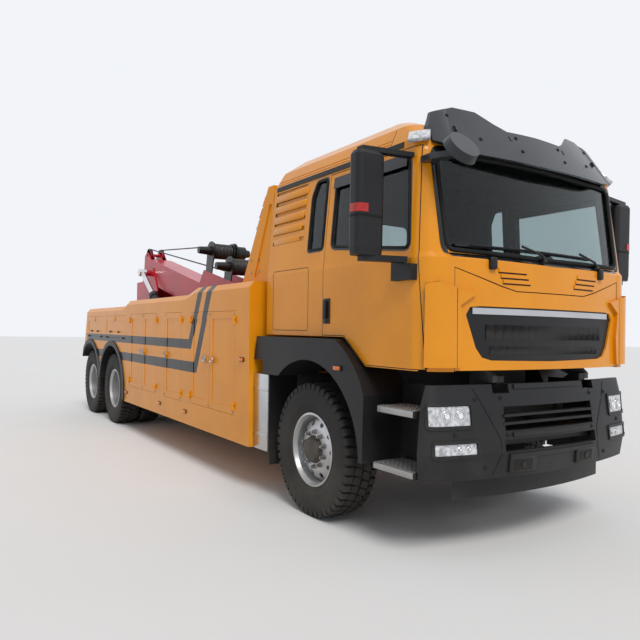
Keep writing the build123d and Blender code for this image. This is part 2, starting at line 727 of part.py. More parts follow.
# Lamps: head and fog lamps follow the bumper's curve; tail and pylon clusters behind
with BuildPart() as lamps:
    add(stack(BUMPER_SECTIONS, 3))
    behind = [
        [row[0] + shift, *row[1:6], row[6] - 200] for row, shift in zip(BUMPER_SECTIONS, (30, 0, 0, -30))
    ]
    add(stack(behind, BUMPER_WALL - 5), mode=Mode.SUBTRACT)
    add(lamp_windows.part, mode=Mode.INTERSECT)
    for side in (1, -1):
        with BuildSketch(flank(side * 900 + 180)):
            side_view((
                (tail_station(1560) - RUN_GAP, 1560), (-7600, 1560), (-7640, 1400),
                (tail_station(1400) - RUN_GAP, 1400),
            ))
        extrude(amount=360)
        # three lenses one above the other down each pylon's rear edge
        for high_z, low_z in PYLON_LAMPS:
            with BuildSketch(flank(side * (PYLON_Y - PYLON_T / 2) + 28)):
                side_view((
                    (pylon_station(high_z) - RUN_GAP, high_z), (pylon_station(high_z) - 34, high_z - 8),
                    (pylon_station(low_z) - 34, low_z + 8), (pylon_station(low_z) - RUN_GAP, low_z),
                ))
            extrude(amount=56)
keep(lamps.part, "lamps")

# Entry steps with their housings, and the stainless boxes behind the front wheels
with BuildPart() as side_steps:
    for z, front, rear in ((1000, 1252, 863), (600, 1263, 830)):
        with BuildSketch(flank(1140)):
            side_view(((front, z - 46), (front, z), (rear, z), (rear, z - 46)))
        extrude(amount=290)
    with BuildSketch(flank(850)):
        side_view(((1255, 554), (1255, 1150), (800, 1150), (800, 554)))
    extrude(amount=40)
    with BuildSketch(flank(820)):
        side_view(((960, 900), (960, 980), (860, 980), (860, 900)))
    extrude(amount=820 - RAIL_Y - RUN_GAP)
    with BuildSketch(flank(1200)):
        side_view(((-905, 420), (-905, 1110), (BOX_FRONT, 1110), (BOX_FRONT, 420)))
    extrude(amount=600)
    with BuildSketch(flank(620)):
        side_view(((-850, 850), (-850, 950), (-700, 950), (-700, 850)))
    extrude(amount=620 - RAIL_Y - RUN_GAP)
    mirror(about=Plane.XZ)
keep(side_steps.part, "side_steps")


def wheel_plane(axle, y, side):
    return across(at(AXLE_STATIONS[axle]), y, HUB_Z, side)


def spun(points, axle, y, side, spin=360):
    """Solid turned about a wheel's axle from (outward, radius) points."""
    x = at(AXLE_STATIONS[axle])
    with BuildPart() as turned:
        with BuildSketch(wheel_plane(axle, y, side)):
            Polygon(*points, align=None)
        revolve(axis=Axis((x, 0, HUB_Z), (0, 1, 0)))
    return turned.part


# outline of a tyre's section: (outward, radius)
half = TYRE_WIDTH / 2
TYRE_SECTION = (
    (-BEAD_Y, BEAD_R), (-half + 4, 345), (-half, 410), (-half + 8, 500), (-half + 24, TYRE_R - 8),
    (-half + 40, TYRE_R), (half - 40, TYRE_R), (half - 24, TYRE_R - 8), (half - 8, 500), (half, 410),
    (half - 4, 345), (BEAD_Y, BEAD_R),
)
seat = BEAD_R - RUN_GAP
BARREL = (
    (-125, RIM_EDGE_R), (-113, RIM_EDGE_R - 4), (-108, seat), (108, seat), (113, RIM_EDGE_R - 4),
    (125, RIM_EDGE_R), (127, 284), (95, 268), (-95, 268), (-127, 284),
)
SPINDLE_IN = SPINDLE_R + RUN_GAP

for side, word in ((1, "left"), (-1, "right")):
    with BuildPart() as tyre:
        add(spun(TYRE_SECTION, "front", FRONT_TYRE_Y, side))
    keep(tyre.part, f"tyre_front_{word}")
    with BuildPart() as rim:
        add(spun(BARREL, "front", FRONT_TYRE_Y, side))
        add(spun(
            ((20, 270), (60, 236), (86, 175), (92, 120), (96, 96), (128, 92), (140, 70), (140, 0),
             (62, 0), (62, SPINDLE_IN), (-75, SPINDLE_IN), (-75, 105), (70, 105), (74, 168), (46, 226),
             (6, 258), (6, 270)),
            "front", FRONT_TYRE_Y, side))
        with BuildSketch(flank(side * FRONT_TYRE_Y + 160)):
            with Locations((at(0), HUB_Z)):
                with PolarLocations(216, 10):
                    Circle(23)
        extrude(amount=320, mode=Mode.SUBTRACT)
    keep(rim.part, f"rim_front_{word}")

    for axle in ("middle", "rear"):
        with BuildPart() as tyre:
            for shift in (TWIN_SPACING / 2, -TWIN_SPACING / 2):
                add(spun(TYRE_SECTION, axle, TWIN_CENTRE_Y + shift, side))
        keep(tyre.part, f"tyre_{axle}_{word}")
        with BuildPart() as rim:
            for shift in (TWIN_SPACING / 2, -TWIN_SPACING / 2):
                add(spun(BARREL, axle, TWIN_CENTRE_Y + shift, side))
            add(spun(
                ((82, 270), (92, 262), (92, 250), (40, 215), (10, 178), (10, 138), (120, 128), (150, 95),
                 (150, 0), (72, 0), (72, AXLE_END_R + RUN_GAP), (-150, AXLE_END_R + RUN_GAP), (-150, 138),
                 (-10, 138), (-10, 178), (-40, 215), (-92, 250), (-92, 262), (-82, 270), (-82, 278),
                 (-75, 278), (-70, 262), (-28, 225), (0, 186), (28, 225), (70, 262), (75, 278), (82, 278)),
                axle, TWIN_CENTRE_Y, side))
            with BuildSketch(flank(side * TWIN_CENTRE_Y + 160)):
                with Locations((at(AXLE_STATIONS[axle]), HUB_Z)):
                    with PolarLocations(208, 10):
                        Circle(20)
            extrude(amount=320, mode=Mode.SUBTRACT)
        keep(rim.part, f"rim_{axle}_{word}")

    # steering knuckle: a yoke round the beam's end, the spindle and the arm to the tie rod
    with BuildPart() as knuckle:
        for z in (HUB_Z - 70 - RUN_GAP - 40, HUB_Z + 70 + RUN_GAP):
            with BuildSketch(Plane.XY.offset(z)):
                with Locations((at(0), side * KINGPIN_Y)):
                    Circle(42)
                with Locations((at(0), side * (KINGPIN_Y + 38))):
                    Rectangle(84, 76)
            extrude(amount=40)
        with BuildSketch(Plane.XY.offset(HUB_Z - 110)):
            with Locations((at(0), side * (KINGPIN_Y + 62))):
                Rectangle(84, 28)
        extrude(amount=220)
        with BuildSketch(flank(side * (KINGPIN_Y + 60))):
            with Locations((at(0), HUB_Z)):
                Circle(SPINDLE_R)
        extrude(amount=-side * (FRONT_TYRE_Y + 61 - KINGPIN_Y - 60))
        with BuildSketch(Plane.XY.offset(HUB_Z - 110)):
            with Locations((at(-STEER_ARM), side * KINGPIN_Y)):
                Circle(32)
            with Locations((at(-STEER_ARM / 2), side * KINGPIN_Y)):
                Rectangle(STEER_ARM, 44)
        extrude(amount=30)
    keep(knuckle.part, f"knuckle_{word}")

with BuildPart() as tie_rod:
    with BuildSketch(Plane.XY.offset(HUB_Z - 110 - RUN_GAP - 34)):
        for side in (1, -1):
            with Locations((at(-STEER_ARM), side * KINGPIN_Y)):
                Circle(32)
        with Locations((at(-STEER_ARM), 0)):
            Rectangle(34, 2 * KINGPIN_Y)
    extrude(amount=34)
keep(tie_rod.part, "tie_rod")

# Cab: hollow walls, cut where the doors, the flap and the glass go
outer_form = cab_form(0)
with BuildPart() as cab_walls:
    add(outer_form)
    add(cab_form(CAB_WALL), mode=Mode.SUBTRACT)
    # the shell is open at the top, where the roof sits on it
    with BuildSketch(Plane.XY.offset(CAB_SECTIONS[-1][0] - CAB_WALL - 1)):
        with Locations((at(200), 0)):
            Rectangle(1740, 1880)
    extrude(amount=100, mode=Mode.SUBTRACT)

# the walls alone, which the doors and the flap are cut from
side_walls = stack(CAB_SECTIONS) - lining(CAB_WALL)
door_prism = flank_cut(DOOR_OUTLINE, 880, 1300)
door_hole = flank_cut(DOOR_OUTLINE, 880, 1300, grow=MOVE_GAP) - lining(CAB_WALL + MOVE_GAP)
window_prism = flank_cut(DOOR_WINDOW, 880, 1300, radius=45)
quarter_prism = flank_cut(QUARTER_WINDOW, 880, 1300)
screen_prism = front_cut(WINDSCREEN, 700, 1050)
flap_prism = front_cut(FLAP_OUTLINE, 300, 1291)
flap_hole = front_cut(FLAP_HOLE, 300, 1285)
with BuildPart() as corner_fins:
    for side in (1, -1):
        with BuildSketch(Plane.YZ.offset(at(1303))):
            Polygon(*[(side * y, z) for y, z in FIN_OUTLINE], align=None)
        extrude(amount=300)
    add(stack(CAB_SECTIONS[:2], -FIN_T), mode=Mode.INTERSECT)
    add(stack(CAB_SECTIONS[:2], CAB_WALL / 2), mode=Mode.SUBTRACT)
grille_prism = front_cut(GRILLE_OUTLINE, 400, 1180)


def glass_form(inset):
    """The glass sheets' common form, set into the walls."""
    with BuildPart() as sheet:
        add(stack(CAB_SECTIONS[1:], inset))
        add(stack(CAB_SECTIONS[1:], inset + GLASS_T), mode=Mode.SUBTRACT)
    return sheet.part


with BuildPart() as cab_shell:
    add(cab_walls.part)
    for cutter in (door_hole, quarter_prism):
        add(cutter, mode=Mode.SUBTRACT)
        add(mirror(cutter, about=Plane.XZ, mode=Mode.PRIVATE), mode=Mode.SUBTRACT)
    add(screen_prism, mode=Mode.SUBTRACT)
    add(corner_fins.part)
    add(flap_hole, mode=Mode.SUBTRACT)
    # rear window
    with BuildSketch(Plane.YZ.offset(at(-900))):
        with Locations((0, 2420)):
            RectangleRounded(1100, 420, 60)
    extrude(amount=200, mode=Mode.SUBTRACT)
    # pressed ribs in the rear quarter
    for z in (2300, 2390, 2480, 2570, 2660, 2750):
        for side in (1, -1):
            with BuildSketch(Plane.YZ.offset(at(-770))):
                reach = CAB_SECTIONS[2][5] + (CAB_SECTIONS[3][5] - CAB_SECTIONS[2][5]) * (z - 2045) / 695
                with Locations((side * (reach + 2), z)):
                    Rectangle(28, 34)
            extrude(amount=540, mode=Mode.SUBTRACT)
    # firewall behind the service flap, with the stops that the closed flap rests on
    with BuildSketch(Plane.YZ.offset(at(1200))):
        with Locations((0, (CAB_FLOOR_Z + 2000) / 2)):
            Rectangle(2 * FIREWALL_Y, 2000 - CAB_FLOOR_Z)
    extrude(amount=22)
    for side in (1, -1):
        with BuildSketch(flank(side * (FIREWALL_Y - 25) + 20)):
            side_view(((1215, 1700), (1215, 1760), (FLAP_STOP, 1760), (FLAP_STOP, 1700)))
        extrude(amount=40)
    # floor's front corners cut back, out of the path of the doors' lower front edges
    for side in (1, -1):
        with BuildSketch(flank(side * 1030 + 80)):
            side_view(((1120, 1255), (1120, 1335), (1296, 1335), (1296, 1255)))
        extrude(amount=160, mode=Mode.SUBTRACT)
    # lugs on the tilt pins, outboard of the frame's posts
    for side in (1, -1):
        with BuildSketch(flank(side * (POST_Y + POST_T / 2 + RUN_GAP + 22) + 22)):
            side_view(((1150, 1235), (1150, 1300), (1284, 1300), (1370, 1225), (1370, 1182), (1310, 1178)))
        extrude(amount=44)
    # striker blocks behind the doors' rear edges
    for side in (1, -1):
        with BuildSketch(Plane.XY.offset(1700)):
            with Locations((at(105), side * (CAB_SECTIONS[0][5] - CAB_WALL - RUN_GAP - 12))):
                Rectangle(90, 24)
        extrude(amount=120)
        with BuildSketch(Plane.XY.offset(1700)):
            with Locations((at(85), side * (CAB_SECTIONS[1][5] - CAB_WALL - 8))):
                Rectangle(40, 30)
        extrude(amount=120)
keep(cab_shell.part, "cab_shell")

with BuildPart() as cab_roof:
    add(roof_form(0))
    inner_roof = [list(row) for row in ROOF_SECTIONS]
    inner_roof[0][0] -= 10
    for row in inner_roof[1:]:
        row[0] -= 45
    add(stack(inner_roof, 45), mode=Mode.SUBTRACT)
keep(cab_roof.part, "cab_roof")

with BuildPart() as front_flap:
    add(side_walls)
    add(corner_fins.part)
    add(flap_prism, mode=Mode.INTERSECT)
    add(grille_prism, mode=Mode.SUBTRACT)
keep(front_flap.part, "front_flap")

with BuildPart() as grille:
    add(stack(CAB_SECTIONS[:2], 14))
    add(stack([[z, *row] for z, row in ((1200, CAB_SECTIONS[0][1:]), (2100, CAB_SECTIONS[1][1:]))], 50),
        mode=Mode.SUBTRACT)
    add(grille_prism, mode=Mode.INTERSECT)
    for low, high, reach, columns in GRILLE_ROWS:
        pitch = 2 * reach / columns
        with BuildSketch(Plane.YZ.offset(at(1180))):
            with Locations((0, (low + high) / 2)):
                with GridLocations(pitch, 0, columns, 1):
                    Rectangle(pitch - GRILLE_BAR, high - low)
        extrude(amount=400, mode=Mode.SUBTRACT)
keep(grille.part, "grille")

with BuildPart() as door_left:
    add(side_walls)
    add(door_prism, mode=Mode.INTERSECT)
    add(window_prism, mode=Mode.SUBTRACT)
keep(door_left.part, "door_left")

with BuildPart() as door_right:
    mirror(door_left.part, about=Plane.XZ)
keep(door_right.part, "door_right")

with BuildPart() as door_glass_left:
    add(glass_form(GLASS_INSET))
    add(flank_cut(DOOR_WINDOW, 880, 1300, grow=-RUN_GAP, radius=45), mode=Mode.INTERSECT)
keep(door_glass_left.part, "door_glass_left")

with BuildPart() as door_glass_right:
    mirror(door_glass_left.part, about=Plane.XZ)
keep(door_glass_right.part, "door_glass_right")

# the openings that the fixed panes fill
with BuildPart() as pane_openings:
    low_z, high_z = WINDSCREEN[0][1], WINDSCREEN[-1][1]
    inset = [
        (y - RUN_GAP if y else 0, z + (RUN_GAP if z < 2400 else -RUN_GAP)) for y, z in WINDSCREEN
    ]
    add(front_cut(inset, 700, 1050))
    quarter = flank_cut(QUARTER_WINDOW, 880, 1300, grow=-RUN_GAP)
    add(quarter)
    add(mirror(quarter, about=Plane.XZ, mode=Mode.PRIVATE))
    with BuildSketch(Plane.YZ.offset(at(-900))):
        with Locations((0, 2420)):
            RectangleRounded(1100 - 2 * RUN_GAP, 420 - 2 * RUN_GAP, 60 - RUN_GAP)
    extrude(amount=200)

# Fixed glass and the clear corner lamps under the visor's ends
with BuildPart() as cab_glass:
    add(glass_form(GLASS_INSET))
    add(pane_openings.part, mode=Mode.INTERSECT)
keep(cab_glass.part, "cab_glass")

# Sun visor with its two raised ends, struts to the roof, and the round kerb mirror
with BuildPart() as visor:
    add(stack(VISOR_SECTIONS))
    add(stack([[row[0] + lift, *row[1:6], row[6] - 100] for row, lift in zip(VISOR_SECTIONS, (-20, 20))], 22),
        mode=Mode.SUBTRACT)
    add(front_cut(VISOR_OUTLINE, 800, 800), mode=Mode.INTERSECT)
    for y in (300, 780):
        strut_end = 1272 - (y - 300) / 8
        for side in (1, -1):
            with BuildSketch(flank(side * y + 8)):
                side_view(((1000, 2900), (1000, 2935), (strut_end, 2935), (strut_end + 20, 2900)))
            extrude(amount=16)
    add(roof_form(-RUN_GAP), mode=Mode.SUBTRACT)
    with BuildSketch(Plane(origin=(at(1440), -970, 2675), x_dir=(0, 1, 0), z_dir=(0.8, 0, 0.6))):
        Circle(125)
    extrude(amount=60, taper=12)
    with BuildSketch(Plane.XY.offset(2640)):
        Polygon(
            (at(1192), -960), (at(1192), -1075), (at(1300), -1090), (at(1470), -1000), (at(1470), -950),
            (at(1290), -1000), align=None,
        )
    extrude(amount=40)
    add(cab_form(-RUN_GAP), mode=Mode.SUBTRACT)
keep(visor.part, "visor")

# Seats: pedestal, cushion, back and head rest
with BuildPart() as seats:
    seat_foot = CAB_ARCH_Z + CAB_WALL + RUN_GAP
    for side in (1, -1):
        with BuildSketch(flank(side * 680 + 170)):
            side_view(((-130, seat_foot), (-130, 1700), (330, 1700), (330, seat_foot)))
        extrude(amount=340)
        with BuildSketch(flank(side * 680 + 250)):
            side_view(((-150, 1700), (-150, 1840), (380, 1860), (400, 1760), (360, 1700)))
        extrude(amount=500)
        with BuildSketch(flank(side * 680 + 240)):
            side_view(((-150, 1830), (-230, 2420), (-130, 2440), (20, 1850)))
        extrude(amount=480)
        with BuildSketch(flank(side * 680 + 130)):
            side_view(((-210, 2400), (-250, 2640), (-150, 2650), (-120, 2400)))
        extrude(amount=260)
keep(seats.part, "seats")

# Dashboard with the steering column and wheel
with BuildPart() as dashboard:
    with BuildSketch(flank(960)):
        side_view((
            (1200 - RUN_GAP, 1640), (1200 - RUN_GAP, 1985), (1050, 2000), (900, 1950), (880, 1880), (980, 1780),
            (980, 1660),
        ))
    extrude(amount=1920)
    wheel = Plane(origin=(at(690), 680, 2050), x_dir=(0, 1, 0), z_dir=(-0.62, 0, 0.785))
    with BuildSketch(wheel.offset(-18)):
        Circle(225)
        Circle(192, mode=Mode.SUBTRACT)
        Rectangle(400, 40)
        Circle(60)
    extrude(amount=30)
    with BuildSketch(wheel.offset(-500)):
        Circle(42)
    extrude(amount=485)
keep(dashboard.part, "dashboard")

# Door mirrors: tall two-part housing on an upper and a lower arm
with BuildPart() as mirror_left:
    with BuildSketch(Plane.XY.offset(2010)):
        with Locations((at(1053), 1409)):
            RectangleRounded(118, 205, 40)
    with BuildSketch(Plane.XY.offset(2060)):
        with Locations((at(1053), 1409)):
            RectangleRounded(126, 222, 45)
    with BuildSketch(Plane.XY.offset(2660)):
        with Locations((at(1053), 1409)):
            RectangleRounded(126, 222, 45)
    with BuildSketch(Plane.XY.offset(2685)):
        with Locations((at(1053), 1409)):
            RectangleRounded(100, 195, 40)
    loft(ruled=True)
    with BuildSketch(Plane.XY.offset(2683)):
        Polygon((at(1020), 1470), (at(1085), 1470), (at(1150), 1090), (at(1090), 1090), align=None)
    extrude(amount=32)
    with BuildSketch(Plane.XY.offset(1975)):
        Polygon((at(1020), 1450), (at(1085), 1450), (at(1180), 1160), (at(1110), 1160), align=None)
    extrude(amount=40)
    with BuildSketch(flank(1180)):
        side_view(((1035, 1860), (1035, 1985), (1230, 1965), (1230, 1860)))
    extrude(amount=120)
    add(cab_form(-RUN_GAP), mode=Mode.SUBTRACT)
keep(mirror_left.part, "mirror_left")

with BuildPart() as mirror_right:
    mirror(mirror_left.part, about=Plane.XZ)
keep(mirror_right.part, "mirror_right")


def boom_plane(y=0):
    """Plane along the boom: local x along it from the pivot, local y square to it and up."""
    tilt = radians(BOOM_ANGLE)
    return Plane(
        origin=(at(BOOM_PIVOT[0]), y, BOOM_PIVOT[1]), x_dir=(-cos(tilt), 0, sin(tilt)), z_dir=(0, 1, 0)
    )


def boom_section(u):
    """Plane square to the boom at u: local x across the truck, local y up the boom's section."""
    tilt = radians(BOOM_ANGLE)
    spot = boom_plane().from_local_coords(Vector(u, 0, 0))
    return Plane(origin=spot, x_dir=(0, -1, 0), z_dir=(-cos(tilt), 0, sin(tilt)))


# Pedestal on the deck: two cheeks with the boom's pin, and the ears of the lift cylinders
with BuildPart() as boom_mast:
    pivot_s, pivot_z = BOOM_PIVOT
    mast_foot = DECK_TOP + RUN_GAP
    for side in (1, -1):
        with BuildSketch(flank(side * (BOOM_W / 2 + MOVE_GAP + 20) + 20)):
            side_view((
                (pivot_s + 420, mast_foot), (pivot_s + 150, pivot_z + 90), (pivot_s - 110, pivot_z + 110),
                (pivot_s - 160, pivot_z - 40), (pivot_s - 420, mast_foot),
            ))
        extrude(amount=40)
    with BuildSketch(flank(BOOM_W / 2 + MOVE_GAP + 30)):
        with Locations((at(pivot_s), pivot_z)):
            Circle(PIN_R + 28)
    extrude(amount=2 * (BOOM_W / 2 + MOVE_GAP + 30))
    with BuildSketch(Plane.XY.offset(mast_foot)):
        with Locations((at(pivot_s + 290), 0)):
            Rectangle(180, BOOM_W + 2 * MOVE_GAP + 2)
    extrude(amount=120)
    base_s, base_z = CYL_BASE
    for side in (1, -1):
        for ear in (-1, 1):
            with BuildSketch(flank(side * CYL_Y + ear * 62 + 11)):
                side_view((
                    (base_s + 130, mast_foot), (base_s + 50, base_z + 45), (base_s - 50, base_z + 45),
                    (base_s - 130, mast_foot),
                ))
            extrude(amount=22)
        with BuildSketch(flank(side * CYL_Y + 75)):
            with Locations((at(base_s), base_z)):
                Circle(PIN_R)
        extrude(amount=150)
keep(boom_mast.part, "boom_mast")

# Boom: box section on its pin, side plates to the column, frame of the winches
with BuildPart() as boom:
    with BuildSketch(boom_section(170)):
        Rectangle(BOOM_W, BOOM_H)
        Rectangle(BOOM_W - 2 * BOOM_PLATE, BOOM_H - 2 * BOOM_PLATE, mode=Mode.SUBTRACT)
    extrude(amount=BOOM_LEN - 170)
    with BuildSketch(boom_plane()):
        Polygon(
            (-120, -60), (-60, 130), (170, BOOM_H / 2), (330, BOOM_H / 2), (330, -BOOM_H / 2),
            (170, -BOOM_H / 2), (-60, -130), align=None,
        )
    extrude(amount=BOOM_W / 2, both=True)
    with BuildSketch(flank(BOOM_W / 2 + 10)):
        with Locations((at(BOOM_PIVOT[0]), BOOM_PIVOT[1])):
            Circle(PIN_R + 28 + RUN_GAP)
    extrude(amount=BOOM_W + 20, mode=Mode.SUBTRACT)
    # slide pads inside, round the inner boom
    pad_y = (INNER_W / 2 + RUN_GAP + BOOM_W / 2 - BOOM_PLATE) / 2
    pad_v = (INNER_H / 2 + RUN_GAP + BOOM_H / 2 - BOOM_PLATE) / 2
    pad_t = BOOM_W / 2 - BOOM_PLATE - INNER_W / 2 - RUN_GAP
    pad_h = BOOM_H / 2 - BOOM_PLATE - INNER_H / 2 - RUN_GAP
    for u in (2600, BOOM_LEN - 180):
        with BuildSketch(boom_section(u)):
            for side in (1, -1):
                with Locations((side * pad_y, 0)):
                    Rectangle(pad_t, 120)
                with Locations((0, side * pad_v)):
                    Rectangle(120, pad_h)
        extrude(amount=150)
    # side plates from the boom's end to the column
    for side in (1, -1):
        with BuildSketch(flank(side * (BOOM_W / 2 + 9) + 9)):
            side_view((
                (-6980, 2600), (-6700, 2180), (-7150, 1980), (-7500, 1500), (COLUMN_FRONT, 1150),
                (COLUMN_FRONT - COLUMN_DEPTH, 1150), (COLUMN_FRONT - COLUMN_DEPTH, 2380), (-7560, 2380),
                (-7560, 2460), (-7420, 2660),
            ))
        extrude(amount=18)
    with BuildSketch(Plane.XY.offset(COLUMN_FOOT)):
        with Locations((at(COLUMN_FRONT - COLUMN_DEPTH / 2), 0)):
            Rectangle(COLUMN_DEPTH, COLUMN_W)
            Rectangle(COLUMN_DEPTH - 40, COLUMN_W - 40, mode=Mode.SUBTRACT)
    extrude(amount=COLUMN_TOP - COLUMN_FOOT)
    for z in (COLUMN_FOOT, COLUMN_TOP - 20):
        with BuildSketch(Plane.XY.offset(z)):
            with Locations((at(COLUMN_FRONT - COLUMN_DEPTH / 2), 0)):
                Rectangle(COLUMN_DEPTH, COLUMN_W)
        extrude(amount=20)
    # packing between the column and the side plates
    for side in (1, -1):
        with BuildSketch(flank(side * (BOOM_W + COLUMN_W) / 4 + (BOOM_W - COLUMN_W) / 4)):
            side_view((
                (COLUMN_FRONT - 20, 1160), (COLUMN_FRONT - 20, 2300), (COLUMN_FRONT - COLUMN_DEPTH + 20, 2300),
                (COLUMN_FRONT - COLUMN_DEPTH + 20, 1160),
            ))
        extrude(amount=(BOOM_W - COLUMN_W) / 2)
    # lugs of the lift cylinders' upper pins
    eye_s, eye_z = CYL_EYE
    for side in (1, -1):
        with BuildSketch(flank(side * (BOOM_W / 2 + 40) + 40)):
            with Locations((at(eye_s), eye_z)):
                Circle(PIN_R + 22)
        extrude(amount=80)
    # hinge ears of the underlift at the column's foot
    fold_s, fold_z = FOLD_PIVOT
    for side in (1, -1):
        with BuildSketch(flank(side * (ARM_W / 2 + MOVE_GAP + 15) + 15)):
            side_view((
                (COLUMN_FRONT - COLUMN_DEPTH + 10, 430), (COLUMN_FRONT - COLUMN_DEPTH + 10, 700),
                (fold_s - 10, 640), (fold_s - 70, fold_z), (fold_s - 10, 440),
            ))
        extrude(amount=30)
    with BuildSketch(flank(ARM_W / 2 + MOVE_GAP + 30)):
        with Locations((at(fold_s), fold_z)):
            Circle(PIN_R)
    extrude(amount=ARM_W + 2 * MOVE_GAP + 60)
    # low pedestal of the winches: two plates that stand on the boom
    for y in WINCH_PLATES:
        with BuildSketch(boom_plane(y - WINCH_PLATE_T / 2)):
            Polygon((620, 195), (730, WINCH_SEAT), (1830, WINCH_SEAT), (1960, 195), align=None)
        extrude(amount=WINCH_PLATE_T)
keep(boom.part, "boom")

# Inner boom with its head and two sheaves
with BuildPart() as boom_inner:
    with BuildSketch(boom_section(INNER_TAIL)):
        Rectangle(INNER_W, INNER_H)
        Rectangle(INNER_W - 28, INNER_H - 28, mode=Mode.SUBTRACT)
    extrude(amount=BOOM_LEN + 40 - INNER_TAIL)
    for side in (1, -1):
        for y in (70, 150):
            with BuildSketch(boom_plane(side * y - 8)):
                Polygon(
                    (BOOM_LEN + 20, -150), (BOOM_LEN + 20, 150), (BOOM_LEN + 150, 215), (BOOM_LEN + 285, 292),
                    (BOOM_LEN + 375, 292), (BOOM_LEN + HEAD_LEN, 200), (BOOM_LEN + HEAD_LEN - 30, -60),
                    (BOOM_LEN + 250, -150), align=None,
                )
            extrude(amount=16)
        with BuildSketch(boom_plane(side * 110 - 26)):
            with Locations((BOOM_LEN + 330, 244)):
                Circle(SHEAVE_R)
        extrude(amount=52)
    with BuildSketch(boom_plane(-170)):
        with Locations((BOOM_LEN + 330, 244)):
            Circle(28)
    extrude(amount=340)
    with BuildSketch(boom_section(BOOM_LEN + 20)):
        Rectangle(INNER_W, INNER_H - 40)
    extrude(amount=24)
keep(boom_inner.part, "boom_inner")

# Two planetary winches: motor, drum with flanges, gear housing, turned about one axis each,
# between round-headed side plates that stand on the boom's pedestal
with BuildPart() as winches:
    for u, v in WINCHES:
        centre = boom_plane().from_local_coords(Vector(u, v, 0))
        with BuildSketch(Plane(origin=centre, x_dir=(0, 1, 0), z_dir=(1, 0, 0))):
            Polygon(*WINCH_SECTION, align=None)
        revolve(axis=Axis(tuple(centre), (0, 1, 0)))
        for y in WINCH_PLATES:
            with BuildSketch(boom_plane(y - WINCH_PLATE_T / 2)):
                with Locations((u, v)):
                    Circle(WINCH_PLATE_R)
                seat_v = WINCH_SEAT + RUN_GAP
                Polygon((u - 110, seat_v), (u - 130, v), (u + 130, v), (u + 110, seat_v), align=None)
                with Locations((u, seat_v - 200)):
                    Rectangle(600, 400, mode=Mode.SUBTRACT)
            extrude(amount=WINCH_PLATE_T)
keep(winches.part, "winches")

# Lift cylinders: barrels on the deck's ears, rods to the boom
base_s, base_z = CYL_BASE
eye_s, eye_z = CYL_EYE
cyl_len = sqrt((eye_s - base_s) ** 2 + (eye_z - base_z) ** 2)
lean = Vector(eye_s - base_s, 0, eye_z - base_z).normalized()
BARREL_LEN = cyl_len - 790
with BuildPart() as lift_barrels:
    for side in (1, -1):
        foot = Plane(origin=(at(base_s), side * CYL_Y, base_z), x_dir=(0, 1, 0), z_dir=tuple(lean))
        with BuildSketch(foot.offset(20)):
            Rectangle(90, 80)
        extrude(amount=BARREL_START - 10)
        with BuildSketch(foot.offset(BARREL_START)):
            Circle(BARREL_R)
        extrude(amount=BARREL_LEN - BARREL_START)
        with BuildSketch(foot.offset(BARREL_LEN - 90)):
            Circle(BARREL_R + 12)
        extrude(amount=90)
        with BuildSketch(flank(side * CYL_Y + 45)):
            with Locations((at(base_s), base_z)):
                Circle(PIN_R + 30)
        extrude(amount=90)
        with BuildSketch(flank(side * CYL_Y + 60)):
            with Locations((at(base_s), base_z)):
                Circle(PIN_R + RUN_GAP)
        extrude(amount=120, mode=Mode.SUBTRACT)
        with BuildSketch(foot.offset(BARREL_START + 20)):
            Circle(ROD_R + RUN_GAP)
        extrude(amount=BARREL_LEN, mode=Mode.SUBTRACT)
keep(lift_barrels.part, "lift_barrels")

with BuildPart() as lift_rods:
    for side in (1, -1):
        foot = Plane(origin=(at(base_s), side * CYL_Y, base_z), x_dir=(0, 1, 0), z_dir=tuple(lean))
        with BuildSketch(foot.offset(BARREL_START + 40)):
            Circle(ROD_R)
        extrude(amount=cyl_len - BARREL_START - 40)
        with BuildSketch(flank(side * CYL_Y + 65 - (RUN_GAP if side < 0 else 0))):
            with Locations((at(eye_s), eye_z)):
                Circle(PIN_R + 34)
        extrude(amount=130 - RUN_GAP)
keep(lift_rods.part, "lift_rods")

# Folding underlift: the arm stands folded up behind the column, its stinger slides in it
fold_s, fold_z = FOLD_PIVOT
with BuildPart() as underlift_arm:
    arm_low = fold_z + 90
    with BuildSketch(Plane.XY.offset(arm_low)):
        with Locations((at(fold_s), 0)):
            Rectangle(ARM_H, ARM_W)
            Rectangle(STINGER_H + 2 * RUN_GAP, STINGER_W + 2 * RUN_GAP, mode=Mode.SUBTRACT)
    extrude(amount=ARM_LEN - 90)
    with BuildSketch(flank(ARM_W / 2)):
        side_view((
            (fold_s + 70, fold_z + 110), (fold_s + 60, fold_z - 20), (fold_s, fold_z - 70),
            (fold_s - 60, fold_z - 20), (fold_s - 70, fold_z + 110),
        ))
    extrude(amount=ARM_W)
    with BuildSketch(flank(ARM_W)):
        with Locations((at(fold_s), fold_z)):
            Circle(PIN_R + RUN_GAP)
    extrude(amount=2 * ARM_W, mode=Mode.SUBTRACT)
keep(underlift_arm.part, "underlift_arm")

with BuildPart() as underlift_stinger:
    with BuildSketch(Plane.XY.offset(fold_z + STINGER_START)):
        with Locations((at(fold_s), 0)):
            Rectangle(STINGER_H, STINGER_W)
    extrude(amount=ARM_LEN + 110 - STINGER_START)
    with BuildSketch(Plane.XY.offset(fold_z + ARM_LEN + 20)):
        with Locations((at(fold_s - 10), 0)):
            Rectangle(180, CROSSBAR_W)
        with Locations(*[(at(fold_s - 10), side * FORK_PIN_Y) for side in (1, -1)]):
            Circle(FORK_PIN_R, mode=Mode.SUBTRACT)
    extrude(amount=150)
    for side in (1, -1):
        with BuildSketch(Plane.XY.offset(fold_z + ARM_LEN + 20)):
            with Locations((at(fold_s - 170), side * (CROSSBAR_W / 2 - 70))):
                Rectangle(190, 100)
        extrude(amount=60)
keep(underlift_stinger.part, "underlift_stinger")
